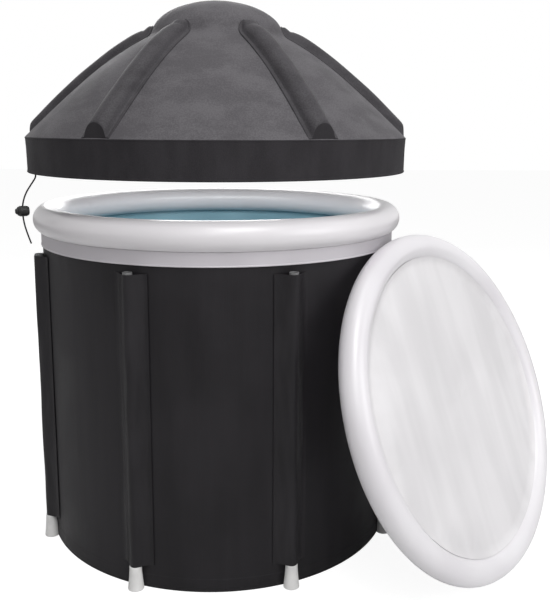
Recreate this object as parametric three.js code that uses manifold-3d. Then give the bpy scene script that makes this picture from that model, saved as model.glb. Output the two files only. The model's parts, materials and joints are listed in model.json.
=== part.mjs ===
// Cold plunge tub: a soft round tub on eight legs, with an inflated ring round its mouth,
// an inflatable lid that leans on its side and a ribbed dome cover held above it.
// Millimetres, +Z up. The origin is on the tub's axis at floor level and -Y is the front.
import * as THREE from 'three';
import { mergeVertices } from 'three/addons/utils/BufferGeometryUtils.js';
import Module from 'manifold-3d';

const wasm = await Module();
wasm.setup();

// Rounds and gaps
const ROUND = 48; // sides of every large round piece
const SMALL_ROUND = 12; // sides of poles, feet and fittings
const TUBE_SIDES = 12; // sides of an inflated tube
const AIR_SIDES = 8; // sides of the air space inside it
const GAP = 0.3; // between pieces that rest on each other

// Tub
const TUB_HEIGHT = 750; // floor to the crest of the ring
const WALL_RADIUS = 400;
const WALL_THICKNESS = 1.2;
const FOAM_THICKNESS = 5;
const LINER_THICKNESS = 1.2;
const BASE_THICKNESS = 6;
const BASE_EDGE = 1.5; // chamfer round the base panel
const FLOOR_PAD_THICKNESS = 8;

// Inflated ring
const RING_TUBE_RADIUS = 31;
const RING_INSET = 13; // from the wall's outside in to the ring's centre line
const SKIN_THICKNESS = 1.2;
const SKIRT_DROP = 87; // from the ring's crest to the skirt's lower edge
const SKIRT_THICKNESS = 1.2;

// Legs
const LEG_COUNT = 8;
const FIRST_LEG_AZIMUTH = 22.5; // degrees from the front, towards +X
const POLE_RADIUS = 9.5;
const POLE_BORE_RADIUS = 7.5;
const SLEEVE_TOP_DROP = 20; // from the skirt's lower edge to the sleeve's upper end
const SLEEVE_WIDTH = 40;
const SLEEVE_THICKNESS = 1;
const SLEEVE_ROOT = 2; // spread of the sleeve where it meets the wall
const SLEEVE_ARCH_STEPS = 8;
const POLE_SHOWS = 8; // length of pole above its sleeve
const FOOT_HEIGHT = 50;
const FOOT_BOTTOM_RADIUS = 16.5;
const FOOT_TOP_RADIUS = 12.3;
const FOOT_RIM = 4; // straight rim at the foot's bottom
const FOOT_FLOOR = 8; // solid rubber under the pole
const FOOT_BACK = 1.2; // rubber between the pole and the wall

// Flip valves of the ring and the lid
const VALVE_FLANGE_RADIUS = 13;
const VALVE_FLANGE_THICKNESS = 1.6;
const VALVE_FLANGE_SKIRT = 5; // how far a flange reaches down round a curved skin
const VALVE_STEM_RADIUS = 7;
const VALVE_STEM_LENGTH = 12;
const VALVE_BORE_RADIUS = 5.2;
const VALVE_CAP_RADIUS = 11;
const VALVE_CAP_THICKNESS = 2.4;
const VALVE_PLUG_RADIUS = 4.2;
const VALVE_PLUG_LENGTH = 3;
const RING_VALVE_AZIMUTH = 0;
const RING_VALVE_RISE = 30; // degrees above level, on the ring's inner side
const LID_VALVE_INSET = 60; // from the lid panel's edge

// Drain
const DRAIN_AZIMUTH = 180;
const DRAIN_HEIGHT = 45;
const DRAIN_PIPE_RADIUS = 15.5;
const DRAIN_BORE_RADIUS = 12;
const DRAIN_FLANGE_RADIUS = 24;
const DRAIN_FLANGE_THICKNESS = 4;
const DRAIN_GASKET_THICKNESS = 2.5;
const DRAIN_OUTLET_LENGTH = 20; // pipe outside its flange
const DRAIN_INLET_LENGTH = 11; // pipe inside the liner
const DRAIN_NUT_THICKNESS = 8;
const DRAIN_CAP_WALL = 3;
const DRAIN_CAP_STEPS = 24;
const THREAD_GAP = 0.4;

// Inflatable lid
const LID_RADIUS = 370;
const LID_TUBE_RADIUS = 29;
const LID_PANEL_RISE = 8; // of each panel from the lid's middle plane
const LID_PANEL_THICKNESS = 1.2;
const LID_HEADING = -41.6; // degrees from +X to the way the lid faces
const LID_TILT = 21.4; // degrees by which it leans back
const LID_SIDE_OFFSET = 151; // of its middle, along the lid, from the line through the axis

// Dome cover
const COVER_LIFT = 72.6; // from the ring's crest to the raised hem's lower edge
const COVER_SEAT_DROP = 122; // travel of the cover down over the ring
const HEM_CLEARANCE = 0.6; // between the ring and the hem that passes over it
const HEM_HEIGHT = 75;
const HEM_CLOTH = 1;
const HEM_FLARE = 1; // growth of the hem's radius towards its top
const CASING_STRAIGHT = 8; // height of the casing before its turn-in
const CASING_TURN = 6; // height of the casing's turn-in
const PANEL_RISE = 221; // of the cover panel from the hem to the crown
const PANEL_DROP = 3.2; // depth of the panel's cloth, measured upright
const PANEL_LIP = 3.2; // width of the panel's lower edge
const PANEL_BOW_RADIUS = 262; // the panel's curve is drawn towards this point
const PANEL_BOW_RISE = 168;
const PANEL_STEPS = 5;
const PANEL_HOLE_INSET = 10; // of the panel's hole under the crown's edge
const CROWN_RADIUS = 150;
const CROWN_RISE = 76;
const CROWN_THICKNESS = 2.4;
const CROWN_STEPS = 5;
const RIB_COUNT = 6;
const FIRST_RIB_AZIMUTH = 30;
const RIB_WIDTH = 48;
const RIB_HEIGHT = 21;
const RIB_END_INSET = 11; // of the rib's cut end from the hem's edge
const RIB_STEPS = 7;
const RIB_SIDES = 12;
const RIB_SEAM = 0.4; // upright gap between a rib and what it lies on

// Drawstring and its lock
const CORD_DIAMETER = 3.2;
const CORD_SIDES = 8;
const CORD_STEPS = 32;
const CORD_AZIMUTH = -60;
const CORD_HOLE_CLEARANCE = 0.6;
// Route of the free cord: distance out from its hole, and height from the hem's lower edge.
const CORD_ROUTE = [
  [0, 1], [0, -2.5], [0.9, -6], [3.2, -10], [7.4, -16], [13, -24], [18.4, -32], [23, -41],
  [26.4, -50], [28.6, -59], [29.4, -66], [29.5, -73], [29.4, -80], [29, -88], [27.6, -98],
  [25.4, -108], [22.4, -119], [19, -130], [15.3, -141],
];
const LOCK_PLACE = [29.5, -73]; // of the lock's middle, on that route
const LOCK_RADIUS = 11;
const LOCK_END_RADIUS = 8.6;
const LOCK_INNER_LENGTH = 12; // from the cord to the closed end
const LOCK_OUTER_LENGTH = 10; // from the cord to the button's end
const LOCK_FLOOR = 1.6;
const LOCK_CORD_CLEARANCE = 0.8;
const BUTTON_RADIUS = 6.2;
const BUTTON_CLEARANCE = 0.35;
const BUTTON_STANDS_OUT = 4.6;
const BUTTON_TRAVEL = 4;
const BUTTON_HEEL = 1.8; // button behind its cord slot
const SPRING_RADIUS = 4;
const SPRING_WIRE = 0.8;
const SPRING_TURNS = 3;

// Colours
const COATED_FABRIC = { color: 0x262528, roughness: 0.62, metalness: 0 };
const COVER_FABRIC = { color: 0x3b3c3f, roughness: 0.8, metalness: 0 };
const HEM_FABRIC = { color: 0x2e2f31, roughness: 0.85, metalness: 0 };
const WHITE_FILM = { color: 0xe6e4e8, roughness: 0.38, metalness: 0 };
const SKIRT_FILM = { color: 0xb9b6bd, roughness: 0.45, metalness: 0 };
const LINER_FILM = { color: 0xb4c4cc, roughness: 0.4, metalness: 0 };
const FOAM = { color: 0xc9c9c4, roughness: 0.95, metalness: 0 };
const POLE_PLASTIC = { color: 0xd9d9d6, roughness: 0.5, metalness: 0 };
const FOOT_PLASTIC = { color: 0xc4c4c2, roughness: 0.55, metalness: 0 };
const VALVE_PLASTIC = { color: 0xdcdcdc, roughness: 0.35, metalness: 0 };
const BLACK_PLASTIC = { color: 0x161617, roughness: 0.4, metalness: 0 };
const BLACK_CORD = { color: 0x121213, roughness: 0.9, metalness: 0 };
const BLACK_RUBBER = { color: 0x1b1b1c, roughness: 0.8, metalness: 0 };
const SPRING_STEEL = { color: 0xa9abae, roughness: 0.3, metalness: 1 };

// Places that several pieces share
const RING_CENTRE_RADIUS = WALL_RADIUS - RING_INSET;
const RING_HEIGHT = TUB_HEIGHT - RING_TUBE_RADIUS;
const RING_OUTER_RADIUS = RING_CENTRE_RADIUS + RING_TUBE_RADIUS;
const WALL_INNER_RADIUS = WALL_RADIUS - WALL_THICKNESS;
const FOAM_OUTER_RADIUS = WALL_INNER_RADIUS - GAP;
const FOAM_INNER_RADIUS = FOAM_OUTER_RADIUS - FOAM_THICKNESS;
const LINER_OUTER_RADIUS = FOAM_INNER_RADIUS - GAP;
const LINER_INNER_RADIUS = LINER_OUTER_RADIUS - LINER_THICKNESS;
const FLOOR_PAD_BOTTOM = BASE_THICKNESS + GAP;
const LINER_BOTTOM = FLOOR_PAD_BOTTOM + FLOOR_PAD_THICKNESS + GAP;
const SKIRT_BOTTOM = TUB_HEIGHT - SKIRT_DROP;
const SLEEVE_TOP = SKIRT_BOTTOM - SLEEVE_TOP_DROP;
const FOOT_BACK_RADIUS = WALL_RADIUS + GAP;
const POLE_CENTRE_RADIUS = FOOT_BACK_RADIUS + FOOT_BACK + GAP + POLE_RADIUS;
const SLEEVE_INNER_RADIUS = POLE_RADIUS + GAP;
const SLEEVE_OUTER_RADIUS = SLEEVE_INNER_RADIUS + SLEEVE_THICKNESS;
const LID_CENTRE_RADIUS = LID_RADIUS - LID_TUBE_RADIUS;
const HEM_BOTTOM = TUB_HEIGHT + COVER_LIFT;
const HEM_TOP = HEM_BOTTOM + HEM_HEIGHT;
const HEM_INNER_RADIUS = RING_OUTER_RADIUS + HEM_CLEARANCE;
const CASING_INNER_RADIUS = HEM_INNER_RADIUS + HEM_CLOTH;
const CASING_OUTER_RADIUS = CASING_INNER_RADIUS + CORD_DIAMETER + 2 * GAP;
const HEM_OUTER_RADIUS = CASING_OUTER_RADIUS + HEM_CLOTH;
const HEM_TOP_RADIUS = HEM_OUTER_RADIUS + HEM_FLARE;
const PANEL_BOTTOM = HEM_TOP + GAP;
const CROWN_BOTTOM = PANEL_BOTTOM + PANEL_RISE;
const CORD_RADIUS = CORD_DIAMETER / 2;
const CORD_LOOP_RADIUS = (CASING_INNER_RADIUS + CASING_OUTER_RADIUS) / 2;
const CORD_LOOP_HEIGHT = HEM_BOTTOM + HEM_CLOTH + GAP + CORD_RADIUS;

const radians = THREE.MathUtils.degToRad;

const product = new THREE.Group();

// Solids

// Keeps only a geometry's corners, each once, and its whole triangles.
function welded(geometry) {
  const bare = new THREE.BufferGeometry();
  bare.setAttribute('position', geometry.getAttribute('position'));
  bare.setIndex(geometry.getIndex());
  const merged = mergeVertices(bare, 1e-4);
  const corners = merged.getIndex().array;
  const whole = [];
  for (let i = 0; i < corners.length; i += 3) {
    const [a, b, c] = corners.slice(i, i + 3);
    if (a !== b && b !== c && c !== a) whole.push(a, b, c);
  }
  merged.setIndex(whole);
  return merged;
}

function toSolid(geometry) {
  const closed = welded(geometry);
  const vertProperties = Float32Array.from(closed.getAttribute('position').array);
  const triVerts = Uint32Array.from(closed.getIndex().array);
  return new wasm.Manifold(new wasm.Mesh({ numProp: 3, vertProperties, triVerts }));
}

function toGeometry(solid) {
  const { vertProperties, triVerts } = solid.getMesh();
  const geometry = new THREE.BufferGeometry();
  geometry.setAttribute('position', new THREE.BufferAttribute(Float32Array.from(vertProperties), 3));
  geometry.setIndex(Array.from(triVerts));
  return geometry;
}

function cut(geometry, ...tools) {
  return toGeometry(tools.reduce((solid, tool) => solid.subtract(toSolid(tool)), toSolid(geometry)));
}

function join(first, second) {
  return toGeometry(toSolid(first).add(toSolid(second)));
}

// Turns a profile of [radius, height] points, anticlockwise, about +Z.
function revolve(profile, sides = ROUND) {
  const points = profile.map(([radius, height]) => new THREE.Vector2(radius, height));
  if (profile[0][0] > 0 || profile.at(-1)[0] > 0) points.push(points[0].clone());
  return welded(new THREE.LatheGeometry(points, sides).rotateX(Math.PI / 2));
}

// A straight tube with square ends.
function tube(inner, outer, bottom, top, sides = ROUND) {
  return revolve([[inner, bottom], [outer, bottom], [outer, top], [inner, top]], sides);
}

// A straight round bar.
function bar(radius, bottom, top, sides = SMALL_ROUND) {
  return revolve([[0, bottom], [radius, bottom], [radius, top], [0, top]], sides);
}

// The outline of a tube's section, anticlockwise.
function sectionOf(centreRadius, height, radius, sides = TUBE_SIDES) {
  return Array.from({ length: sides }, (_, k) => {
    const turn = (2 * Math.PI * k) / sides;
    return [centreRadius + radius * Math.cos(turn), height + radius * Math.sin(turn)];
  });
}

function torus(centreRadius, height, radius, sides = TUBE_SIDES) {
  return revolve(sectionOf(centreRadius, height, radius, sides));
}

// An inflated tube: a skin round the air inside it, with a hole that lets the air in.
function inflated(centreRadius, height, radius, airHole) {
  const flats = radius * Math.cos(Math.PI / TUBE_SIDES);
  const air = torus(centreRadius, height, flats - SKIN_THICKNESS, AIR_SIDES);
  return cut(torus(centreRadius, height, radius), air, airHole);
}

function piece(name, geometry, finish, parent = product) {
  const mesh = new THREE.Mesh(geometry, new THREE.MeshStandardMaterial(finish));
  mesh.name = name;
  parent.add(mesh);
  return mesh;
}

// A frame turned about the tub's axis, in which -Y points out at the given azimuth.
function spoke(azimuth, parent = product) {
  const group = new THREE.Group();
  group.rotation.z = radians(azimuth);
  parent.add(group);
  return group;
}

// Moves a copy of a geometry from a group's frame to the product's.
function inProduct(geometry, group) {
  group.updateWorldMatrix(true, false);
  return geometry.clone().applyMatrix4(group.matrixWorld);
}

// Underside of the ring at a radius.
function ringUnderside(radius) {
  const reach = radius - RING_CENTRE_RADIUS;
  return RING_HEIGHT - Math.sqrt(RING_TUBE_RADIUS ** 2 - reach ** 2);
}

// Flip valve, with +Z out of the surface that it sits on

const VALVE_CAP_BOTTOM = VALVE_FLANGE_THICKNESS + GAP;
const VALVE_HOLE = bar(VALVE_STEM_RADIUS + GAP, -VALVE_STEM_LENGTH, VALVE_FLANGE_SKIRT);

function valveBody(flange) {
  const stem = bar(VALVE_STEM_RADIUS, -VALVE_STEM_LENGTH, VALVE_FLANGE_THICKNESS);
  const bore = bar(VALVE_BORE_RADIUS, -VALVE_STEM_LENGTH - 1, VALVE_FLANGE_THICKNESS + 1);
  return cut(join(flange, stem), bore);
}

function valveCap() {
  return revolve([
    [0, VALVE_CAP_BOTTOM - VALVE_PLUG_LENGTH],
    [VALVE_PLUG_RADIUS, VALVE_CAP_BOTTOM - VALVE_PLUG_LENGTH],
    [VALVE_PLUG_RADIUS, VALVE_CAP_BOTTOM],
    [VALVE_CAP_RADIUS, VALVE_CAP_BOTTOM],
    [VALVE_CAP_RADIUS, VALVE_CAP_BOTTOM + VALVE_CAP_THICKNESS / 2],
    [VALVE_CAP_RADIUS - VALVE_CAP_THICKNESS / 2, VALVE_CAP_BOTTOM + VALVE_CAP_THICKNESS],
    [0, VALVE_CAP_BOTTOM + VALVE_CAP_THICKNESS],
  ], SMALL_ROUND);
}

// Tub

function addShell() {
  const drainRadius = DRAIN_PIPE_RADIUS + GAP;
  const drainFrame = spoke(DRAIN_AZIMUTH);
  const drainHole = inProduct(
    bar(drainRadius, LINER_INNER_RADIUS - FOAM_THICKNESS, WALL_RADIUS + FOAM_THICKNESS, DRAIN_CAP_STEPS)
      .rotateX(Math.PI / 2).translate(0, 0, DRAIN_HEIGHT),
    drainFrame,
  );
  piece('base_panel', revolve([
    [0, 0],
    [WALL_RADIUS - BASE_EDGE, 0],
    [WALL_RADIUS, BASE_EDGE],
    [WALL_RADIUS, BASE_THICKNESS],
    [0, BASE_THICKNESS],
  ]), COATED_FABRIC);
  piece('floor_pad', bar(
    FOAM_INNER_RADIUS - GAP, FLOOR_PAD_BOTTOM, FLOOR_PAD_BOTTOM + FLOOR_PAD_THICKNESS, ROUND,
  ), FOAM);
  const wallTop = ringUnderside(WALL_INNER_RADIUS) - GAP;
  const wall = tube(WALL_INNER_RADIUS, WALL_RADIUS, BASE_THICKNESS + GAP, wallTop);
  piece('outer_wall', cut(wall, drainHole), COATED_FABRIC);
  const linerTop = ringUnderside(LINER_INNER_RADIUS) - GAP;
  const foam = tube(FOAM_INNER_RADIUS, FOAM_OUTER_RADIUS, BASE_THICKNESS + GAP, linerTop);
  piece('insulation_wall', cut(foam, drainHole), FOAM);
  const liner = revolve([
    [0, LINER_BOTTOM],
    [LINER_OUTER_RADIUS, LINER_BOTTOM],
    [LINER_OUTER_RADIUS, linerTop],
    [LINER_INNER_RADIUS, linerTop],
    [LINER_INNER_RADIUS, LINER_BOTTOM + LINER_THICKNESS],
    [0, LINER_BOTTOM + LINER_THICKNESS],
  ]);
  piece('inner_liner', cut(liner, drainHole), LINER_FILM);
}

function addRing() {
  const valveFrame = new THREE.Group();
  const frame = spoke(RING_VALVE_AZIMUTH);
  const rise = radians(RING_VALVE_RISE);
  valveFrame.position.set(
    0,
    -(RING_CENTRE_RADIUS - RING_TUBE_RADIUS * Math.cos(rise)),
    RING_HEIGHT + RING_TUBE_RADIUS * Math.sin(rise),
  );
  valveFrame.rotation.x = -(Math.PI / 2 - rise);
  frame.add(valveFrame);

  const hole = inProduct(VALVE_HOLE, valveFrame);
  piece('top_ring', inflated(RING_CENTRE_RADIUS, RING_HEIGHT, RING_TUBE_RADIUS, hole), WHITE_FILM);
  const skirtInner = WALL_RADIUS + GAP;
  piece('ring_skirt', tube(
    skirtInner, skirtInner + SKIRT_THICKNESS, SKIRT_BOTTOM, ringUnderside(skirtInner) - GAP,
  ), SKIRT_FILM);

  const seat = torus(RING_CENTRE_RADIUS, RING_HEIGHT, RING_TUBE_RADIUS + GAP)
    .applyMatrix4(valveFrame.matrixWorld.clone().invert());
  const flange = cut(bar(VALVE_FLANGE_RADIUS, -VALVE_FLANGE_SKIRT, VALVE_FLANGE_THICKNESS), seat);
  piece('ring_valve_body', valveBody(flange), VALVE_PLASTIC, valveFrame);
  piece('ring_valve_cap', valveCap(), VALVE_PLASTIC, valveFrame);
}

// Section of a leg sleeve: two strips on the wall and an arch over the pole.
function sleeveSection() {
  const fall = Math.tan(Math.PI / ROUND); // slope of the wall's flats beside the pole
  const centre = POLE_CENTRE_RADIUS - WALL_RADIUS;
  const half = SLEEVE_WIDTH / 2;
  const onWall = (across, lift) => [across, GAP + lift - fall * Math.abs(across)];
  const arch = (radius) => Array.from({ length: SLEEVE_ARCH_STEPS + 1 }, (_, k) => {
    const turn = Math.PI * (1 - k / SLEEVE_ARCH_STEPS);
    return [radius * Math.cos(turn), centre + radius * Math.sin(turn)];
  });
  const outerRoot = SLEEVE_OUTER_RADIUS + SLEEVE_ROOT;
  const innerRoot = SLEEVE_INNER_RADIUS + SLEEVE_ROOT;
  const outline = [
    onWall(-half, 0),
    onWall(-half, SLEEVE_THICKNESS),
    onWall(-outerRoot, SLEEVE_THICKNESS),
    ...arch(SLEEVE_OUTER_RADIUS),
    onWall(outerRoot, SLEEVE_THICKNESS),
    onWall(half, SLEEVE_THICKNESS),
    onWall(half, 0),
    onWall(innerRoot, 0),
    ...arch(SLEEVE_INNER_RADIUS).reverse(),
    onWall(-innerRoot, 0),
  ];
  return new THREE.Shape(outline.map(([across, out]) => new THREE.Vector2(across, -WALL_RADIUS - out)));
}

function addLegs() {
  const sleeveBottom = FOOT_HEIGHT + GAP;
  const sleeve = new THREE.ExtrudeGeometry(sleeveSection(), {
    depth: SLEEVE_TOP - sleeveBottom, bevelEnabled: false,
  }).translate(0, 0, sleeveBottom);
  const bore = POLE_RADIUS + GAP;
  const footRound = revolve([
    [0, 0],
    [FOOT_BOTTOM_RADIUS, 0],
    [FOOT_BOTTOM_RADIUS, FOOT_RIM],
    [FOOT_TOP_RADIUS, FOOT_HEIGHT],
    [bore, FOOT_HEIGHT],
    [bore, FOOT_FLOOR],
    [0, FOOT_FLOOR],
  ], SMALL_ROUND).translate(0, -POLE_CENTRE_RADIUS, 0);
  const foot = cut(footRound, bar(FOOT_BACK_RADIUS, -1, FOOT_HEIGHT + 1, ROUND));
  const pole = tube(
    POLE_BORE_RADIUS, POLE_RADIUS, FOOT_FLOOR + GAP, SLEEVE_TOP + POLE_SHOWS, SMALL_ROUND,
  ).translate(0, -POLE_CENTRE_RADIUS, 0);
  for (let leg = 0; leg < LEG_COUNT; leg += 1) {
    const frame = spoke(FIRST_LEG_AZIMUTH + (360 * leg) / LEG_COUNT);
    piece(`leg_pole_${leg + 1}`, pole.clone(), POLE_PLASTIC, frame);
    piece(`leg_sleeve_${leg + 1}`, welded(sleeve), COATED_FABRIC, frame);
    piece(`foot_cap_${leg + 1}`, foot.clone(), FOOT_PLASTIC, frame);
  }
}

// The drain's pieces lie along +Z of this frame, which points out of the wall.
function addDrain() {
  const frame = new THREE.Group();
  frame.rotation.x = Math.PI / 2;
  frame.position.z = DRAIN_HEIGHT;
  spoke(DRAIN_AZIMUTH).add(frame);

  const wallFace = bar(WALL_RADIUS + GAP, -DRAIN_HEIGHT, DRAIN_HEIGHT, ROUND).rotateX(-Math.PI / 2);
  const gasketFace = WALL_RADIUS + GAP + DRAIN_GASKET_THICKNESS;
  const flangeFace = gasketFace + GAP;
  const flangeTop = flangeFace + DRAIN_FLANGE_THICKNESS;
  const outlet = flangeTop + DRAIN_OUTLET_LENGTH;
  const inlet = LINER_INNER_RADIUS - DRAIN_INLET_LENGTH;
  const nutGap = DRAIN_FLANGE_RADIUS * Math.tan(Math.PI / ROUND); // the wall's flats bend away
  const nutFace = LINER_INNER_RADIUS - nutGap - GAP;
  const nutBore = DRAIN_PIPE_RADIUS + THREAD_GAP;

  piece('drain_gasket', cut(
    tube(nutBore, DRAIN_FLANGE_RADIUS, WALL_RADIUS - nutGap, gasketFace, DRAIN_CAP_STEPS), wallFace,
  ), BLACK_RUBBER, frame);
  piece('drain_fitting', revolve([
    [DRAIN_BORE_RADIUS, inlet],
    [DRAIN_PIPE_RADIUS, inlet],
    [DRAIN_PIPE_RADIUS, flangeFace],
    [DRAIN_FLANGE_RADIUS, flangeFace],
    [DRAIN_FLANGE_RADIUS, flangeTop],
    [DRAIN_PIPE_RADIUS, flangeTop],
    [DRAIN_PIPE_RADIUS, outlet],
    [DRAIN_BORE_RADIUS, outlet],
  ], DRAIN_CAP_STEPS), BLACK_PLASTIC, frame);
  const nut = bar(DRAIN_FLANGE_RADIUS, nutFace - DRAIN_NUT_THICKNESS, nutFace, 6);
  const nutHole = bar(nutBore, nutFace - DRAIN_NUT_THICKNESS - 1, nutFace + 1, DRAIN_CAP_STEPS);
  piece('drain_nut', cut(nut, nutHole), BLACK_PLASTIC, frame);
  const capBore = DRAIN_PIPE_RADIUS + THREAD_GAP;
  const capRadius = capBore + DRAIN_CAP_WALL;
  piece('drain_cap', revolve([
    [capBore, flangeTop + GAP],
    [capRadius, flangeTop + GAP],
    [capRadius, outlet + GAP + DRAIN_CAP_WALL],
    [0, outlet + GAP + DRAIN_CAP_WALL],
    [0, outlet + GAP],
    [capBore, outlet + GAP],
  ], DRAIN_CAP_STEPS), BLACK_PLASTIC, frame);
}

// Lid

// Distance from a point to an upright post of the given radius and top height.
function fromPost(across, height, radius, top) {
  return Math.hypot(Math.max(across - radius, 0), Math.max(height - top, 0));
}

// Gap between the lid's tube, at a point of its centre line, and the tub's outside.
function clearOfTub(point) {
  const radius = Math.hypot(point.x, point.y);
  const gaps = [
    radius - WALL_RADIUS - GAP - SKIRT_THICKNESS,
    Math.hypot(radius - RING_CENTRE_RADIUS, point.z - RING_HEIGHT) - RING_TUBE_RADIUS,
  ];
  for (let leg = 0; leg < LEG_COUNT; leg += 1) {
    const azimuth = radians(FIRST_LEG_AZIMUTH + (360 * leg) / LEG_COUNT);
    const x = POLE_CENTRE_RADIUS * Math.sin(azimuth);
    const y = -POLE_CENTRE_RADIUS * Math.cos(azimuth);
    const across = Math.hypot(point.x - x, point.y - y);
    gaps.push(fromPost(across, point.z, SLEEVE_OUTER_RADIUS, SLEEVE_TOP));
    gaps.push(fromPost(across, point.z, POLE_RADIUS, SLEEVE_TOP + POLE_SHOWS));
  }
  if (point.z > HEM_BOTTOM - COVER_SEAT_DROP - LID_TUBE_RADIUS) gaps.push(radius - HEM_TOP_RADIUS);
  return Math.min(...gaps) - LID_TUBE_RADIUS;
}

// The lid's frame: +X along the floor, +Y up its slope and +Z out of its face.
// It stands on the floor, as close to the tub as it can lean.
function lidFrame() {
  const heading = radians(LID_HEADING);
  const tilt = radians(LID_TILT);
  const ahead = new THREE.Vector3(Math.cos(heading), Math.sin(heading), 0);
  const along = new THREE.Vector3(-Math.sin(heading), Math.cos(heading), 0);
  const face = ahead.clone().multiplyScalar(Math.cos(tilt)).setZ(Math.sin(tilt));
  const slope = new THREE.Vector3().crossVectors(face, along);
  const height = LID_TUBE_RADIUS + LID_CENTRE_RADIUS * slope.z;
  const middle = (standoff) => along.clone().multiplyScalar(LID_SIDE_OFFSET)
    .addScaledVector(ahead, standoff).setZ(height);
  const clears = (standoff) => {
    const centre = middle(standoff);
    for (let step = 0; step < 2 * ROUND; step += 1) {
      const turn = (Math.PI * step) / ROUND;
      const point = centre.clone()
        .addScaledVector(along, LID_CENTRE_RADIUS * Math.cos(turn))
        .addScaledVector(slope, LID_CENTRE_RADIUS * Math.sin(turn));
      if (clearOfTub(point) < GAP) return false;
    }
    return true;
  };
  let near = 0;
  let far = 2 * (WALL_RADIUS + LID_RADIUS);
  for (let halving = 0; halving < 40; halving += 1) {
    const between = (near + far) / 2;
    if (clears(between)) far = between;
    else near = between;
  }
  const group = new THREE.Group();
  group.position.copy(middle(far));
  group.quaternion.setFromRotationMatrix(new THREE.Matrix4().makeBasis(along, slope, face));
  product.add(group);
  return group;
}

function addLid() {
  const frame = lidFrame();
  const panelTop = LID_PANEL_RISE + LID_PANEL_THICKNESS;
  const reach = LID_TUBE_RADIUS - LID_PANEL_RISE * Math.tan(Math.PI / TUBE_SIDES);
  const panelRadius = LID_CENTRE_RADIUS - reach - GAP;
  const vent = bar(VALVE_STEM_RADIUS, -LID_TUBE_RADIUS, LID_TUBE_RADIUS)
    .rotateX(Math.PI / 2)
    .translate(0, LID_CENTRE_RADIUS - LID_TUBE_RADIUS, 0);
  piece('lid_ring', inflated(LID_CENTRE_RADIUS, 0, LID_TUBE_RADIUS, vent), WHITE_FILM, frame);
  piece('lid_front_panel', bar(panelRadius, LID_PANEL_RISE, panelTop, ROUND), WHITE_FILM, frame);

  const valveFrame = new THREE.Group();
  valveFrame.position.set(0, LID_VALVE_INSET - panelRadius, -panelTop);
  valveFrame.rotation.x = Math.PI;
  frame.add(valveFrame);
  const hole = VALVE_HOLE.clone().translate(0, LID_VALVE_INSET - panelRadius, -panelTop);
  const backPanel = bar(panelRadius, -panelTop, -LID_PANEL_RISE, ROUND);
  piece('lid_back_panel', cut(backPanel, hole), WHITE_FILM, frame);
  const flange = bar(VALVE_FLANGE_RADIUS, GAP, VALVE_FLANGE_THICKNESS);
  piece('lid_valve_body', valveBody(flange), VALVE_PLASTIC, valveFrame);
  piece('lid_valve_cap', valveCap(), VALVE_PLASTIC, valveFrame);

  const lowest = new THREE.Box3().setFromObject(frame, true).min.z;
  frame.position.z -= lowest;
}

// Cover

// Outside of the cover panel, as radius and height, from the hem up to the crown.
function panelCurve() {
  return new THREE.QuadraticBezierCurve3(
    new THREE.Vector3(HEM_TOP_RADIUS, 0, PANEL_BOTTOM),
    new THREE.Vector3(PANEL_BOW_RADIUS, 0, PANEL_BOTTOM + PANEL_BOW_RISE),
    new THREE.Vector3(CROWN_RADIUS, 0, CROWN_BOTTOM),
  );
}

function panelProfile() {
  return panelCurve().getPoints(PANEL_STEPS).map((point) => [point.x, point.z]);
}

// Quarter of an ellipse from the crown's edge to its top, grown or shrunk evenly.
function crownProfile(growth) {
  return Array.from({ length: CROWN_STEPS + 1 }, (_, k) => {
    const turn = (Math.PI / 2) * (k / CROWN_STEPS);
    const radius = k === CROWN_STEPS ? 0 : (CROWN_RADIUS + growth) * Math.cos(turn);
    return [radius, CROWN_BOTTOM + RIB_SEAM + (CROWN_RISE + growth) * Math.sin(turn)];
  });
}

function addCover() {
  const outside = panelProfile();
  const inside = outside.map(([radius, height]) => [radius, height - PANEL_DROP]);
  const [holeRadius, holeTop] = [CROWN_RADIUS - PANEL_HOLE_INSET, CROWN_BOTTOM];
  piece('cover_panel', revolve([
    [HEM_TOP_RADIUS - PANEL_LIP, PANEL_BOTTOM],
    ...outside,
    [holeRadius, holeTop],
    [holeRadius, holeTop - PANEL_DROP],
    ...inside.slice(1).reverse(),
  ]), COVER_FABRIC);

  piece('cover_crown', revolve([
    ...crownProfile(0),
    ...crownProfile(-CROWN_THICKNESS).reverse(),
  ]), COVER_FABRIC);

  const turnTop = HEM_BOTTOM + CASING_STRAIGHT + CASING_TURN;
  const hem = revolve([
    [HEM_INNER_RADIUS, HEM_BOTTOM],
    [HEM_OUTER_RADIUS, HEM_BOTTOM],
    [HEM_TOP_RADIUS, HEM_TOP],
    [HEM_TOP_RADIUS - HEM_CLOTH, HEM_TOP],
    [CASING_OUTER_RADIUS, HEM_BOTTOM + HEM_CLOTH],
    [CASING_INNER_RADIUS, HEM_BOTTOM + HEM_CLOTH],
    [CASING_INNER_RADIUS, HEM_BOTTOM + CASING_STRAIGHT],
    [CASING_OUTER_RADIUS - GAP, turnTop],
    [CASING_OUTER_RADIUS - GAP - HEM_CLOTH, turnTop],
    [HEM_INNER_RADIUS, HEM_BOTTOM + CASING_STRAIGHT],
  ]);
  const cordHole = bar(CORD_RADIUS + CORD_HOLE_CLEARANCE, -HEM_CLOTH, HEM_CLOTH + GAP)
    .translate(0, -CORD_LOOP_RADIUS, HEM_BOTTOM)
    .rotateZ(radians(CORD_AZIMUTH));
  piece('cover_hem', cut(hem, cordHole), HEM_FABRIC);
}

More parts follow.
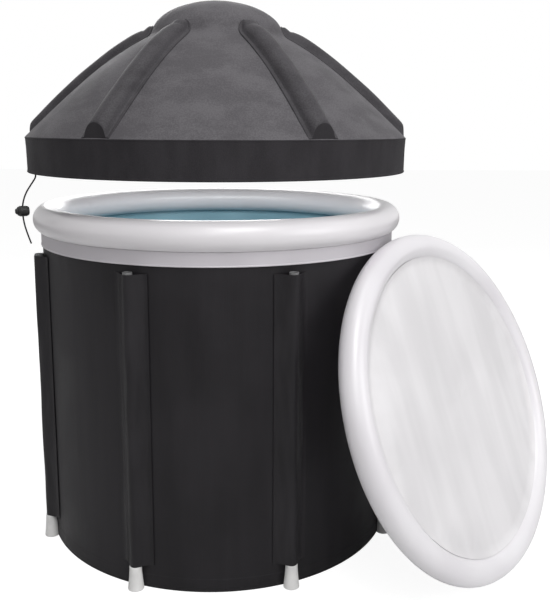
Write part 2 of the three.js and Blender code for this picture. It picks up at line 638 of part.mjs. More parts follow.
function addRibs() {
  const section = new THREE.Shape();
  section.absellipse(0, 0, RIB_WIDTH / 2, RIB_HEIGHT, 0, 2 * Math.PI);
  const sweep = new THREE.ExtrudeGeometry(section, {
    steps: RIB_STEPS, curveSegments: RIB_SIDES / 2, extrudePath: panelCurve(),
  }).rotateZ(-Math.PI / 2);
  const endRadius = HEM_TOP_RADIUS - RIB_END_INSET;
  const outside = panelProfile();
  const clearTop = CROWN_BOTTOM + CROWN_RISE;
  const farRadius = HEM_TOP_RADIUS + RIB_WIDTH;
  const endHeight = THREE.MathUtils.mapLinear(
    endRadius, outside[0][0], outside[1][0], outside[0][1], outside[1][1],
  );
  const lifted = outside.slice(1).map(([radius, height]) => [radius, height + RIB_SEAM]);
  const keepOut = revolve([
    [0, HEM_BOTTOM],
    [farRadius, HEM_BOTTOM],
    [farRadius, clearTop],
    [endRadius, clearTop],
    [endRadius, endHeight + RIB_SEAM],
    ...lifted,
    ...crownProfile(RIB_SEAM).slice(1),
  ]);
  for (let rib = 0; rib < RIB_COUNT; rib += 1) {
    const azimuth = FIRST_RIB_AZIMUTH + (360 * rib) / RIB_COUNT;
    const turned = sweep.clone().rotateZ(radians(azimuth));
    piece(`cover_rib_${rib + 1}`, cut(turned, keepOut), COVER_FABRIC);
  }
}

// Drawstring

// A round tube along a curve.
function cordAlong(curve, radius, sides, steps) {
  const section = new THREE.Shape();
  section.absarc(0, 0, radius, 0, 2 * Math.PI);
  return welded(new THREE.ExtrudeGeometry(section, {
    steps, curveSegments: sides / 2, extrudePath: curve,
  }));
}

// A helix about the X axis, as wide as the spring's middle line.
class SpringCurve extends THREE.Curve {
  constructor(start, length) {
    super();
    this.start = start;
    this.length = length;
  }

  getPoint(share, target = new THREE.Vector3()) {
    const turn = 2 * Math.PI * SPRING_TURNS * share;
    const y = SPRING_RADIUS * Math.cos(turn);
    const z = SPRING_RADIUS * Math.sin(turn);
    return target.set(this.start + this.length * share, y, z);
  }
}

function addDrawstring() {
  piece('drawstring_loop', torus(CORD_LOOP_RADIUS, CORD_LOOP_HEIGHT, CORD_RADIUS, CORD_SIDES), BLACK_CORD);
  const frame = spoke(CORD_AZIMUTH);
  const route = CORD_ROUTE.map(([out, up]) => (
    new THREE.Vector3(0, -CORD_LOOP_RADIUS - out, HEM_BOTTOM + up)
  ));
  const cord = cordAlong(new THREE.CatmullRomCurve3(route), CORD_RADIUS, CORD_SIDES, CORD_STEPS);
  piece('drawstring', cord, BLACK_CORD, frame);

  // The lock's frame has +X out of the button's end and +Z up the cord.
  const lock = new THREE.Group();
  lock.position.set(0, -CORD_LOOP_RADIUS - LOCK_PLACE[0], HEM_BOTTOM + LOCK_PLACE[1]);
  lock.rotation.z = -Math.PI / 2;
  frame.add(lock);
  const lengthwise = (geometry) => geometry.rotateY(Math.PI / 2);
  const cordHole = bar(CORD_RADIUS + LOCK_CORD_CLEARANCE, -2 * LOCK_RADIUS, 2 * LOCK_RADIUS);
  const shoulder = LOCK_RADIUS - LOCK_END_RADIUS;
  const body = lengthwise(revolve([
    [0, -LOCK_INNER_LENGTH],
    [LOCK_END_RADIUS, -LOCK_INNER_LENGTH],
    [LOCK_RADIUS, -LOCK_INNER_LENGTH + 2 * shoulder],
    [LOCK_RADIUS, LOCK_OUTER_LENGTH - 2 * shoulder],
    [LOCK_END_RADIUS, LOCK_OUTER_LENGTH],
    [0, LOCK_OUTER_LENGTH],
  ], 2 * SMALL_ROUND));
  const boreFloor = LOCK_FLOOR - LOCK_INNER_LENGTH;
  const bore = lengthwise(bar(BUTTON_RADIUS + BUTTON_CLEARANCE, boreFloor, LOCK_OUTER_LENGTH + 1));
  piece('cord_lock_body', cut(body, bore, cordHole), BLACK_PLASTIC, lock);

  const slotHalf = CORD_RADIUS + LOCK_CORD_CLEARANCE;
  const buttonEnd = LOCK_OUTER_LENGTH + BUTTON_STANDS_OUT;
  const heel = -slotHalf - BUTTON_HEEL;
  const button = lengthwise(revolve([
    [0, heel],
    [BUTTON_RADIUS, heel],
    [BUTTON_RADIUS, buttonEnd - BUTTON_HEEL],
    [BUTTON_RADIUS - BUTTON_HEEL, buttonEnd],
    [0, buttonEnd],
  ], SMALL_ROUND));
  const slotLength = 2 * slotHalf + BUTTON_TRAVEL;
  const slot = new THREE.BoxGeometry(slotLength, 2 * slotHalf, 4 * BUTTON_RADIUS)
    .translate(slotLength / 2 - slotHalf, 0, 0);
  piece('cord_lock_button', cut(button, slot), BLACK_PLASTIC, lock);

  const wire = SPRING_WIRE / 2;
  const springStart = boreFloor + GAP + wire;
  const springLength = heel - GAP - wire - springStart;
  const spring = cordAlong(new SpringCurve(springStart, springLength), wire, 6, 8 * SPRING_TURNS);
  piece('cord_lock_spring', spring, SPRING_STEEL, lock);
}

addShell();
addRing();
addLegs();
addDrain();
addLid();
addCover();
addRibs();
addDrawstring();

export default product;
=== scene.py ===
"""Looks of the cold plunge tub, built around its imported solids. Metres, +Z up, -Y is the front."""

import json
import logging
import math
from abc import ABC, abstractmethod
from collections.abc import Mapping, Sequence
from dataclasses import dataclass, field, replace
from enum import Enum

import bmesh
import bpy
import numpy as np
from mathutils import Matrix, Vector


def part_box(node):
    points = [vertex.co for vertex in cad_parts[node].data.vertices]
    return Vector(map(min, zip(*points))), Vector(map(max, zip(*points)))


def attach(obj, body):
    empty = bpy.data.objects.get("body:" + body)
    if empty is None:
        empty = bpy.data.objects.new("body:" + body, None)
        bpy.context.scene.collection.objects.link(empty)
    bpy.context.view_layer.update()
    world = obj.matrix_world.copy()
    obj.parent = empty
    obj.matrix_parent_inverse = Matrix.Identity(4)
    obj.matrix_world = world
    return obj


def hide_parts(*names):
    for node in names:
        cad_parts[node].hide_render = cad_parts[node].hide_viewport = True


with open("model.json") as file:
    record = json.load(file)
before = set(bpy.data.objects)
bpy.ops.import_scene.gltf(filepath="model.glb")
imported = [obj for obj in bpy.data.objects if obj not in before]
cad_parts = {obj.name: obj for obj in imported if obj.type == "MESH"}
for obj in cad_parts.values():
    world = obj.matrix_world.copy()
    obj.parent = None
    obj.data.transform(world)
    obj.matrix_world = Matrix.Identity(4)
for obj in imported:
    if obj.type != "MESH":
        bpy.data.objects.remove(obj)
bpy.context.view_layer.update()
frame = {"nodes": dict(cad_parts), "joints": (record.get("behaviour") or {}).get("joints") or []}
LOG = logging.getLogger("cold_plunge_tub")

Colour = tuple[float, float, float]
Pair = tuple[float, float]
Place = tuple[float, float, float]
Solid = tuple[np.ndarray, list[tuple[int, ...]]]
Socket = bpy.types.NodeSocket

WHITE = (1.0, 1.0, 1.0, 1.0)
OUTWARD = (1.0, 0.0)
UPWARD = (0.0, 1.0)
ON_AXIS = 1e-9
SIDE_SHARE = 0.45
MERGE_DISTANCE = 1e-6
SLIVER = 1e-7
EDGE_STEPS = 3
TUBE_POINTS = 56
SLACK_RUN = 0.1


class Body(str, Enum):
    """The bodies that new pieces ride on."""

    TUB = "tub"
    RING_VALVE = "ring_valve_cap"
    DRAIN_CAP = "drain_cap"
    LID = "lid"
    LID_VALVE = "lid_valve_cap"
    COVER = "cover"


def srgb(*levels: int) -> Colour:
    """Turns a colour as seen on a screen into a linear one.

    Args:
        levels: Red, green and blue, from 0 to 255.

    Returns:
        The linear colour.
    """
    shares = (level / 255 for level in levels)
    return tuple(s / 12.92 if s <= 0.04045 else ((s + 0.055) / 1.055) ** 2.4 for s in shares)


# Node graphs


class Nodes:
    """A node tree of a material or of the world."""

    def __init__(self, tree: bpy.types.NodeTree) -> None:
        """Takes the tree to fill."""
        self.tree = tree

    def feed(self, target: Socket, source: object) -> None:
        """Links a socket to an output, or sets a plain value on it.

        Args:
            target: The input socket.
            source: An output socket or a value.
        """
        if isinstance(source, Socket):
            self.tree.links.new(source, target)
        else:
            target.default_value = source

    def node(self, kind: str, inputs: Mapping[str | int, object], **settings: object) -> bpy.types.Node:
        """Adds a node.

        Args:
            kind: Blender's name of the node, without its first two words.
            inputs: What goes into its sockets.
            settings: Properties of the node to set.

        Returns:
            The new node.
        """
        made = self.tree.nodes.new(f"ShaderNode{kind}")
        for key, value in settings.items():
            setattr(made, key, value)
        for name, source in inputs.items():
            self.feed(made.inputs[name], source)
        return made

    def out(self, kind: str, inputs: Mapping[str | int, object], **settings: object) -> Socket:
        """Adds a node as node() does, and returns its first output."""
        return self.node(kind, inputs, **settings).outputs[0]

    def blend(self, *patterns: Socket, by: str = "ADD") -> Socket:
        """Combines patterns one after the other.

        Args:
            patterns: The patterns.
            by: Blender's name of the sum.

        Returns:
            The combined pattern.
        """
        total = patterns[0]
        for pattern in patterns[1:]:
            total = self.out("Math", {0: total, 1: pattern}, operation=by)
        return total


class Graph(Nodes):
    """The node tree of one material, with a Principled shader at its end."""

    core: Pair = (0.3, 0.7)

    def __init__(self, name: str, lie: Place) -> None:
        """Starts a new material.

        Args:
            name: The material's name.
            lie: Turn of the pattern's axes, as XYZ angles in radians.
        """
        self.lie = lie
        self.material = bpy.data.materials.new(name)
        self.material.use_nodes = True
        super().__init__(self.material.node_tree)
        self.shader = self.tree.nodes["Principled BSDF"]
        self.place = self.node("TexCoord", {}).outputs["Object"]

    def noise(self, scale: float, detail: float, stretch: Place = (1, 1, 1)) -> Socket:
        """Adds a soft cloudy pattern, along axes that lie as the piece does.

        Args:
            scale: Patches per metre.
            detail: Steps of finer detail.
            stretch: Factor along each axis.

        Returns:
            The pattern, from 0 to 1.
        """
        axes = {"Vector": self.place, "Rotation": self.lie, "Scale": [1 / factor for factor in stretch]}
        place = self.out("Mapping", axes, vector_type="TEXTURE")
        return self.node("TexNoise", {"Vector": place, "Scale": scale, "Detail": detail}).outputs["Fac"]

    def wave(self, scale: float, axis: str, bend: float = 0.0) -> Socket:
        """Adds even bands across one axis.

        Args:
            scale: Blender's scale of the bands.
            axis: X, Y, Z or DIAGONAL.
            bend: How far the bands wander.

        Returns:
            The bands, from 0 to 1.
        """
        inputs = {"Vector": self.place, "Scale": scale, "Distortion": bend}
        return self.node("TexWave", inputs, bands_direction=axis).outputs["Fac"]

    def spread(self, pattern: Socket, low: float, high: float) -> Socket:
        """Maps the middle levels of a pattern to a range of values.

        Args:
            pattern: The pattern.
            low: Value of its dark parts.
            high: Value of its light parts.

        Returns:
            The mapped values.
        """
        start, end = self.core
        inputs = {"Value": pattern, "From Min": start, "From Max": end, "To Min": low, "To Max": high}
        return self.out("MapRange", inputs, interpolation_type="SMOOTHERSTEP")

    def tint(self, pattern: Socket, finish: "Finish", levels: Pair = core) -> Socket:
        """Colours a pattern between the two tones of a finish.

        Args:
            pattern: The pattern.
            finish: Holds the tones.
            levels: Pattern levels of the dark and the light tone.

        Returns:
            The colour.
        """
        made = self.node("ValToRGB", {"Fac": pattern})
        for stop, level, tone in zip(made.color_ramp.elements, levels, (finish.dark, finish.light)):
            stop.position, stop.color = level, (*tone, 1)
        return made.outputs["Color"]

    def bump(self, *layers: tuple[Socket, float]) -> None:
        """Gives the shader fine relief.

        Args:
            layers: Patterns, each with its depth in metres.
        """
        below: dict[str, Socket] = {}
        for pattern, depth in layers:
            relief = {"Strength": 1.0, "Distance": depth, "Height": pattern}
            below = {"Normal": self.out("Bump", relief | below)}
        self.feed(self.shader.inputs["Normal"], below["Normal"])

    def dress(self, colour: Socket, roughness: Socket | float, **constants: float) -> None:
        """Sets the shader's colour, roughness and plain values.

        Args:
            colour: The colour's pattern.
            roughness: Pattern or number.
            constants: Other sockets by name, with spaces written as underscores.
        """
        sockets = {"Base_Color": colour, "Roughness": roughness, **constants}
        for name, source in sockets.items():
            self.feed(self.shader.inputs[name.replace("_", " ")], source)


# Finishes


@dataclass(frozen=True)
class Finish(ABC):
    """A finish of the tub: its name, the record's slot and its two tones."""

    name: str
    slot: str
    dark: Colour
    light: Colour
    lie: Place = field(default=(0.0, 0.0, 0.0), kw_only=True)

    def material(self) -> bpy.types.Material:
        """Makes the finish's material the first time it is asked for.

        Returns:
            The material.
        """
        name = f"{self.name}_finish"
        known = bpy.data.materials.get(name)
        if known is not None:
            return known
        graph = Graph(name, self.lie)
        self.paint(graph)
        return graph.material

    @abstractmethod
    def paint(self, graph: Graph) -> None:
        """Lays out the finish's nodes.

        Args:
            graph: The graph to fill.
        """


@dataclass(frozen=True)
class ClothFinish(Finish):
    """Coated or plain cloth with a fine weave, soft creases and a grain of speckles."""

    weave: float = 900.0
    weave_depth: float = 0.00002
    crease: Place = (9, 9, 2)
    crease_depth: float = 0.0012
    clouds: float = 5.0
    cloud: float = 0.45
    grain: float = 620.0
    grain_depth: float = 0.00025
    speckle: float = 0.0
    levels: Pair = (0.05, 0.9)
    roughness: Pair = (0.5, 0.65)
    specular: float = 0.2

    def paint(self, graph: Graph) -> None:
        """Lays out weave, creases and speckles.

        Args:
            graph: The graph to fill.
        """
        creases = graph.noise(1.0, 4.0, self.crease)
        clouds = graph.noise(self.clouds, 4.0)
        grain = graph.noise(self.grain, 2.0)
        lines = graph.spread(creases, 0.0, self.levels[1] - self.cloud)
        specks = graph.spread(grain, -self.speckle, self.speckle)
        tone = graph.blend(graph.spread(clouds, 0.0, self.cloud), lines, specks)
        threads = graph.blend(*(graph.wave(self.weave, axis) for axis in "XYZ"))
        graph.dress(
            graph.tint(tone, self, self.levels), graph.spread(clouds, *self.roughness),
            Specular_IOR_Level=self.specular,
        )
        graph.bump((creases, self.crease_depth), (grain, self.grain_depth), (threads, self.weave_depth))


@dataclass(frozen=True)
class FilmFinish(Finish):
    """Soft satin film with long faint streaks and shallow ripples."""

    streak: Place = (4, 4, 3)
    ripple_depth: float = 0.0003
    clouds: float = 4.0
    grain: float = 1800.0
    grain_depth: float = 0.000006
    roughness: Pair = (0.29, 0.36)
    specular: float = 0.5
    coat: float = 0.1
    coat_roughness: float = 0.2

    def paint(self, graph: Graph) -> None:
        """Lays out streaks, clouds and ripples.

        Args:
            graph: The graph to fill.
        """
        streaks = graph.noise(1.0, 2.0, self.streak)
        clouds = graph.noise(self.clouds, 2.0)
        grain = graph.noise(self.grain, 1.0)
        tone = graph.blend(graph.spread(streaks, 0.0, 0.5), graph.spread(clouds, 0.0, 0.5))
        graph.dress(
            graph.tint(tone, self, (0.0, 1.0)), graph.spread(clouds, *self.roughness),
            Specular_IOR_Level=self.specular, Coat_Weight=self.coat, Coat_Roughness=self.coat_roughness,
        )
        graph.bump((streaks, self.ripple_depth), (grain, self.grain_depth))


@dataclass(frozen=True)
class MouldedFinish(Finish):
    """Moulded plastic or rubber with a spark-eroded grain and rubbed patches."""

    grain: float = 1400.0
    grain_depth: float = 0.00003
    patches: float = 35.0
    patch_depth: float = 0.00006
    roughness: Pair = (0.35, 0.5)
    specular: float = 0.4

    def paint(self, graph: Graph) -> None:
        """Lays out grain and rubbed patches.

        Args:
            graph: The graph to fill.
        """
        patches = graph.noise(self.patches, 4.0)
        grain = graph.noise(self.grain, 2.0)
        graph.dress(
            graph.tint(patches, self), graph.spread(patches, *self.roughness),
            Specular_IOR_Level=self.specular,
        )
        graph.bump((grain, self.grain_depth), (patches, self.patch_depth))


@dataclass(frozen=True)
class FoamFinish(Finish):
    """Soft foam with open cells."""

    cells: float = 500.0
    cell_depth: float = 0.0004

    def paint(self, graph: Graph) -> None:
        """Lays out the cells.

        Args:
            graph: The graph to fill.
        """
        holes = graph.out("TexVoronoi", {"Vector": graph.place, "Scale": self.cells})
        graph.dress(graph.tint(holes, self, (0.0, 0.5)), 0.95, Specular_IOR_Level=0.15)
        graph.bump((holes, self.cell_depth))


@dataclass(frozen=True)
class BraidFinish(Finish):
    """Braided cord with slanting strands."""

    strands: float = 260.0
    strand_depth: float = 0.0003

    def paint(self, graph: Graph) -> None:
        """Lays out the crossing strands.

        Args:
            graph: The graph to fill.
        """
        along = graph.wave(self.strands, "DIAGONAL", 0.4)
        across = graph.wave(self.strands * 0.8, "Z", 0.4)
        braid = graph.blend(along, across, by="MAXIMUM")
        graph.dress(graph.tint(braid, self, (0.2, 0.9)), 0.8, Specular_IOR_Level=0.25)
        graph.bump((braid, self.strand_depth))


@dataclass(frozen=True)
class SteelFinish(Finish):
    """Drawn steel wire with fine lines."""

    lines: float = 900.0
    line_depth: float = 0.00002
    roughness: Pair = (0.29, 0.4)

    def paint(self, graph: Graph) -> None:
        """Lays out the drawing lines.

        Args:
            graph: The graph to fill.
        """
        lines = graph.noise(self.lines, 3.0, (0.2, 1.0, 1.0))
        graph.dress(graph.tint(lines, self), graph.spread(lines, *self.roughness), Metallic=1.0)
        graph.bump((lines, self.line_depth))


WALL_CLOTH = ClothFinish(
    "wall_cloth", "coated_fabric", srgb(24, 22, 25), srgb(36, 34, 37),
    crease=(16, 16, 1.6), crease_depth=0.0016, roughness=(0.42, 0.56), specular=0.22,
)
SLEEVE_CLOTH = ClothFinish(
    "sleeve_cloth", "coated_fabric", srgb(24, 22, 25), srgb(37, 35, 38),
    crease=(40, 40, 5), crease_depth=0.0009, roughness=(0.4, 0.52), specular=0.25,
)
DOME_CLOTH = ClothFinish(
    "dome_cloth", "cover_fabric", srgb(80, 78, 81), srgb(96, 94, 97), cloud=0.3, grain=340.0,
    crease=(14, 14, 30), crease_depth=0.0005, speckle=0.3, roughness=(0.52, 0.62), specular=0.06,
)
# A darker copy of the dome cloth for the ribs: its darker tone is painted shade.
RIB_CLOTH_PAINTED_SHADE = replace(
    DOME_CLOTH, name="rib_cloth_painted_shade", dark=srgb(54, 52, 55), light=srgb(68, 66, 69),
    roughness=(0.46, 0.56), specular=0.12,
)
HEM_CLOTH = ClothFinish(
    "hem_cloth", "hem_fabric", srgb(36, 34, 37), srgb(48, 46, 49),
    crease=(26, 26, 8), crease_depth=0.0009, speckle=0.2, roughness=(0.66, 0.8), specular=0.18,
)
RING_FILM = FilmFinish("ring_film", "white_film", srgb(221, 218, 221), srgb(231, 228, 231))
SKIRT_FILM = FilmFinish(
    "skirt_film", "skirt_film", srgb(186, 182, 187), srgb(204, 200, 205), roughness=(0.34, 0.46),
)
LID_FILM = FilmFinish(
    "lid_film", "white_film", srgb(220, 217, 221), srgb(233, 231, 234), roughness=(0.29, 0.35),
)
LID_FACE_FILM = FilmFinish(
    "lid_face_film", "white_film", srgb(213, 211, 213), srgb(232, 230, 232),
    streak=(15, 2.2, 15), ripple_depth=0.0012, roughness=(0.36, 0.46), specular=0.4,
)
LINER_FILM = FilmFinish(
    "liner_film", "liner_film", srgb(118, 158, 172), srgb(150, 186, 198), roughness=(0.3, 0.42),
)
FOAM = FoamFinish("foam", "foam", srgb(176, 176, 171), srgb(206, 206, 200))
POLE_PLASTIC = MouldedFinish("pole_plastic", "pole_plastic", srgb(92, 92, 93), srgb(112, 112, 113))
FOOT_PLASTIC = MouldedFinish(
    "foot_plastic", "foot_plastic", srgb(226, 225, 224), srgb(240, 239, 238), roughness=(0.45, 0.6),
)
VALVE_PLASTIC = MouldedFinish("valve_plastic", "valve_plastic", srgb(212, 212, 212), srgb(228, 228, 228))
BLACK_PLASTIC = MouldedFinish(
    "black_plastic", "black_plastic", srgb(16, 16, 17), srgb(28, 28, 29), roughness=(0.3, 0.42),
)
BLACK_RUBBER = MouldedFinish(
    "black_rubber", "black_rubber", srgb(22, 22, 23), srgb(36, 36, 37), roughness=(0.65, 0.8),
)
BLACK_CORD = BraidFinish("black_cord", "black_cord", srgb(10, 10, 11), srgb(34, 34, 35))
SPRING_STEEL = SteelFinish("spring_steel", "spring_steel", srgb(150, 152, 155), srgb(190, 192, 195))


# Mesh building


@dataclass(frozen=True)
class Ripple:
    """Shallow waves of a soft surface that close round an axis."""

    seed: int
    depth: float
    turns: tuple[int, int]
    rise: Pair
    count: int = 8

    def at(self, azimuth: np.ndarray, along: np.ndarray) -> np.ndarray:
        """Gives the waves' height.

        Args:
            azimuth: Angles round the axis, in radians.
            along: Distances along the surface, in metres.

        Returns:
            Heights in metres.
        """
        draw = np.random.default_rng(self.seed)
        total = np.zeros(np.broadcast(azimuth, along).shape)
        for _ in range(self.count):
            turns = draw.integers(self.turns[0], self.turns[1] + 1)
            rise = draw.uniform(*self.rise) * draw.choice((-1, 1))
            phase = draw.uniform(0, 2 * math.pi)
            total += np.sin(turns * azimuth + 2 * math.pi * rise * along + phase)
        return total * self.depth / math.sqrt(self.count)

    def dip(self, azimuth: np.ndarray, along: np.ndarray) -> np.ndarray:
        """Gives the height that at() gives, let in so far that no wave stands out."""
        return self.at(azimuth, along) - self.depth * math.sqrt(self.count)


def around(count: int) -> np.ndarray:
    """Returns even angles round an axis as one row."""
    return np.linspace(0, 2 * math.pi, count, endpoint=False)[None, :]


def share(value: np.ndarray) -> np.ndarray:
    """Holds values between 0 and 1."""
    return np.clip(value, 0, 1)


def lengths(line: np.ndarray) -> np.ndarray:
    """Returns the distance along a line at each of its points."""
    return np.concatenate([[0], np.cumsum(np.linalg.norm(np.diff(line, axis=0), axis=1))])


def band(inner: float, outer: float, low: float, high: float) -> list[Pair]:
    """Returns the four corners of a flat ring's section."""
    return [(inner, low), (outer, low), (outer, high), (inner, high)]


def rounded(corners: Sequence[Pair], radius: float, steps: int = 4, loop: bool = True) -> np.ndarray:
    """Rounds the corners of a profile.

    Args:
        corners: Points of radius and height.
        radius: Reach of each rounding, cut short where a side is short.
        steps: Pieces of each rounding.
        loop: Whether the profile closes on itself.

    Returns:
        The rounded profile.
    """
    points = np.array(corners, float)
    count = len(points)
    made: list[np.ndarray] = []
    for k, point in enumerate(points):
        if point[0] < ON_AXIS or (not loop and k in (0, count - 1)):
            made.append(point)
            continue
        back, ahead = points[k - 1] - point, points[(k + 1) % count] - point
        back_length, ahead_length = np.linalg.norm(back), np.linalg.norm(ahead)
        reach = min(radius, SIDE_SHARE * back_length, SIDE_SHARE * ahead_length)
        start, end = point + back / back_length * reach, point + ahead / ahead_length * reach
        for t in np.linspace(0, 1, steps + 1):
            made.append((1 - t) ** 2 * start + 2 * t * (1 - t) * point + t**2 * end)
    return np.array(made)


def divided(profile: np.ndarray, step: float, loop: bool = True) -> np.ndarray:
    """Adds points to a profile so that none of its sides is long.

    Args:
        profile: Points of radius and height.
        step: Longest side.
        loop: Whether the profile closes on itself.

    Returns:
        The divided profile.
    """
    made: list[np.ndarray] = []
    for k in range(len(profile) if loop else len(profile) - 1):
        start, end = profile[k], profile[(k + 1) % len(profile)]
        pieces = max(1, math.ceil(np.linalg.norm(end - start) / step))
        made.extend(start + (end - start) * n / pieces for n in range(pieces))
    if not loop:
        made.append(profile[-1])
    return np.array(made)


def circle(radius: float, centre: Pair, count: int) -> np.ndarray:
    """Draws a round section as points of radius and height.

    Args:
        radius: Of the section.
        centre: Radius and height of its middle.
        count: Number of points.

    Returns:
        The section's points.
    """
    turn = around(count)[0]
    return np.stack([centre[0] + radius * np.cos(turn), centre[1] + radius * np.sin(turn)], axis=1)


def grid_faces(rows: int, columns: int, loop: bool) -> list[tuple[int, ...]]:
    """Joins rows of points, each closed on itself, with four-sided faces.

    Args:
        rows: Rows of points.
        columns: Points in a row.
        loop: Whether the last row joins the first.

    Returns:
        The faces.
    """
    faces = []
    for i in range(rows if loop else rows - 1):
        for j in range(columns):
            i2, j2 = (i + 1) % rows, (j + 1) % columns
            faces.append((i * columns + j, i * columns + j2, i2 * columns + j2, i2 * columns + j))
    return faces


def turned(profile: np.ndarray, sides: int, loop: bool = True,
           shift: np.ndarray | float = 0.0, way: np.ndarray | Pair = OUTWARD) -> Solid:
    """Turns a profile about the Z axis.

    Args:
        profile: Points of radius and height.
        sides: Points round the axis.
        loop: Whether the profile closes on itself.
        shift: How far each point is moved, in rows along the profile and columns round the axis.
        way: Direction of the moves as radius and height, one for all or one for each row.

    Returns:
        The points and faces.
    """
    azimuth = around(sides)
    shift, way = np.broadcast_to(shift, (len(profile), sides)), np.broadcast_to(way, profile.shape)
    radius, height = profile[:, :1] + shift * way[:, :1], profile[:, 1:] + shift * way[:, 1:]
    points = np.stack([radius * np.sin(azimuth), -radius * np.cos(azimuth), height], axis=-1)
    return points.reshape(-1, 3), grid_faces(len(profile), sides, loop)


def blown_tube(tube: float, centre: Pair, sides: int, waves: tuple[Ripple, Ripple], gather: Place) -> Solid:
    """Makes an inflated ring, drawn in where its film is gathered.

    Args:
        tube: Radius of the tube.
        centre: Radius and height of its middle.
        sides: Points round the ring.
        waves: Puckers and slack waves.
        gather: Where the puckers start on the inner side and on the underside, and their share there.

    Returns:
        The points and faces.
    """
    (puckers, slack), (inner, under, part) = waves, gather
    section = circle(tube, centre, TUBE_POINTS)
    out = (section - np.array(centre)) / tube
    azimuth, turn = around(sides), np.arctan2(out[:, 1:], out[:, :1])
    gathered = share(-out[:, :1] - inner) + part * share(-out[:, 1:] - under)
    wave = puckers.dip(azimuth, turn * tube) * gathered + slack.dip(azimuth, turn * SLACK_RUN)
    return turned(section, sides, True, wave, out)


def swept(sections: np.ndarray) -> Solid:
    """Joins closed sections into one form with closed ends.

    Args:
        sections: Rows of points, one closed section each.

    Returns:
        The points and faces.
    """
    rows, columns, _ = sections.shape
    ends = [tuple(range(columns)), tuple(range((rows - 1) * columns, rows * columns))]
    return sections.reshape(-1, 3), grid_faces(rows, columns, False) + ends


def profile_normals(profile: np.ndarray) -> np.ndarray:
    """Gives the outward direction at each point of an open profile that runs up and in.

    Args:
        profile: Points of radius and height.

    Returns:
        Unit directions as radius and height.
    """
    run = np.gradient(profile, axis=0)
    normal = np.stack([run[:, 1], -run[:, 0]], axis=1)
    return normal / np.linalg.norm(normal, axis=1, keepdims=True)


def smooth_line(points: np.ndarray, per_side: int) -> np.ndarray:
    """Draws a smooth line through points.

    Args:
        points: Points in order.
        per_side: Steps between neighbours.

    Returns:
        Closely spaced points of the line.
    """
    padded = np.vstack([2 * points[0] - points[1], points, 2 * points[-1] - points[-2]])
    made = []
    for k in range(1, len(padded) - 2):
        before, start, end, after = padded[k - 1 : k + 3]
        for t in np.linspace(0, 1, per_side, endpoint=False):
            made.append(0.5 * (
                2 * start + (end - before) * t + (2 * before - 5 * start + 4 * end - after) * t**2
                + (3 * start - before - 3 * end + after) * t**3
            ))
    made.append(points[-1])
    return np.array(made)


@dataclass
class Piece:
    """One visible piece: what it stands for, what it rides on and its finish."""

    name: str
    body: Body
    finish: Finish
    stands_for: Sequence[str] = ()
    crisp: float = 38.0
    at: Matrix = field(default_factory=lambda: Matrix.Identity(4))

    def build(self, solid: Solid) -> bpy.types.Object:
        """Makes the piece's object and ties it to its body.

        Args:
            solid: Points and faces, in the frame that the piece is placed by.

        Returns:
            The object.
        """
        points, faces = solid
        turn, shift = np.array(self.at.to_3x3()), np.array(self.at.translation)
        mesh = bpy.data.meshes.new(self.name)
        mesh.from_pydata((points @ turn.T + shift).tolist(), [], faces)
        shape = bmesh.new()
        shape.from_mesh(mesh)
        bmesh.ops.remove_doubles(shape, verts=shape.verts, dist=MERGE_DISTANCE)
        bmesh.ops.dissolve_degenerate(shape, dist=SLIVER, edges=shape.edges)
        bmesh.ops.recalc_face_normals(shape, faces=shape.faces)
        shape.to_mesh(mesh)
        shape.free()
        mesh.shade_smooth()
        mesh.set_sharp_from_angle(angle=math.radians(self.crisp))
        mesh.materials.append(self.finish.material())
        made = bpy.data.objects.new(self.name, mesh)
        bpy.context.scene.collection.objects.link(made)
        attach(made, self.body.value)
        if self.stands_for:
            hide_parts(*self.stands_for)
        LOG.info("piece %s on %s: %d faces", self.name, self.body.value, len(mesh.polygons))
        return made


def redress(node: str, finish: Finish, edge: float, crisp: float = math.radians(40)) -> bpy.types.Object:
    """Gives a solid that stays visible its finish, smooth shading and softened edges.

    Args:
        node: Name of the solid.
        finish: Its finish.
        edge: Width of the softened edges.
        crisp: Least angle between two faces that counts as an edge.

    Returns:
        The solid's object.
    """
    made = frame["nodes"][node]
    made.data.materials.clear()
    made.data.materials.append(finish.material())
    made.data.shade_smooth()
    made.data.set_sharp_from_angle(angle=crisp)
    bevel = made.modifiers.new("softened_edges", "BEVEL")
    bevel.width, bevel.segments = edge, EDGE_STEPS
    bevel.limit_method, bevel.angle_limit = "ANGLE", crisp
    LOG.info("solid %s dressed in %s", node, finish.name)
    return made


def spoke(azimuth: float) -> Matrix:
    """Gives the turn about the tub's axis that takes the front to an azimuth in degrees."""
    return Matrix.Rotation(math.radians(azimuth), 4, "Z")


def middle(node: str) -> Vector:
    """Returns the middle of a solid's box."""
    low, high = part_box(node)
    return (low + high) / 2


# Studio


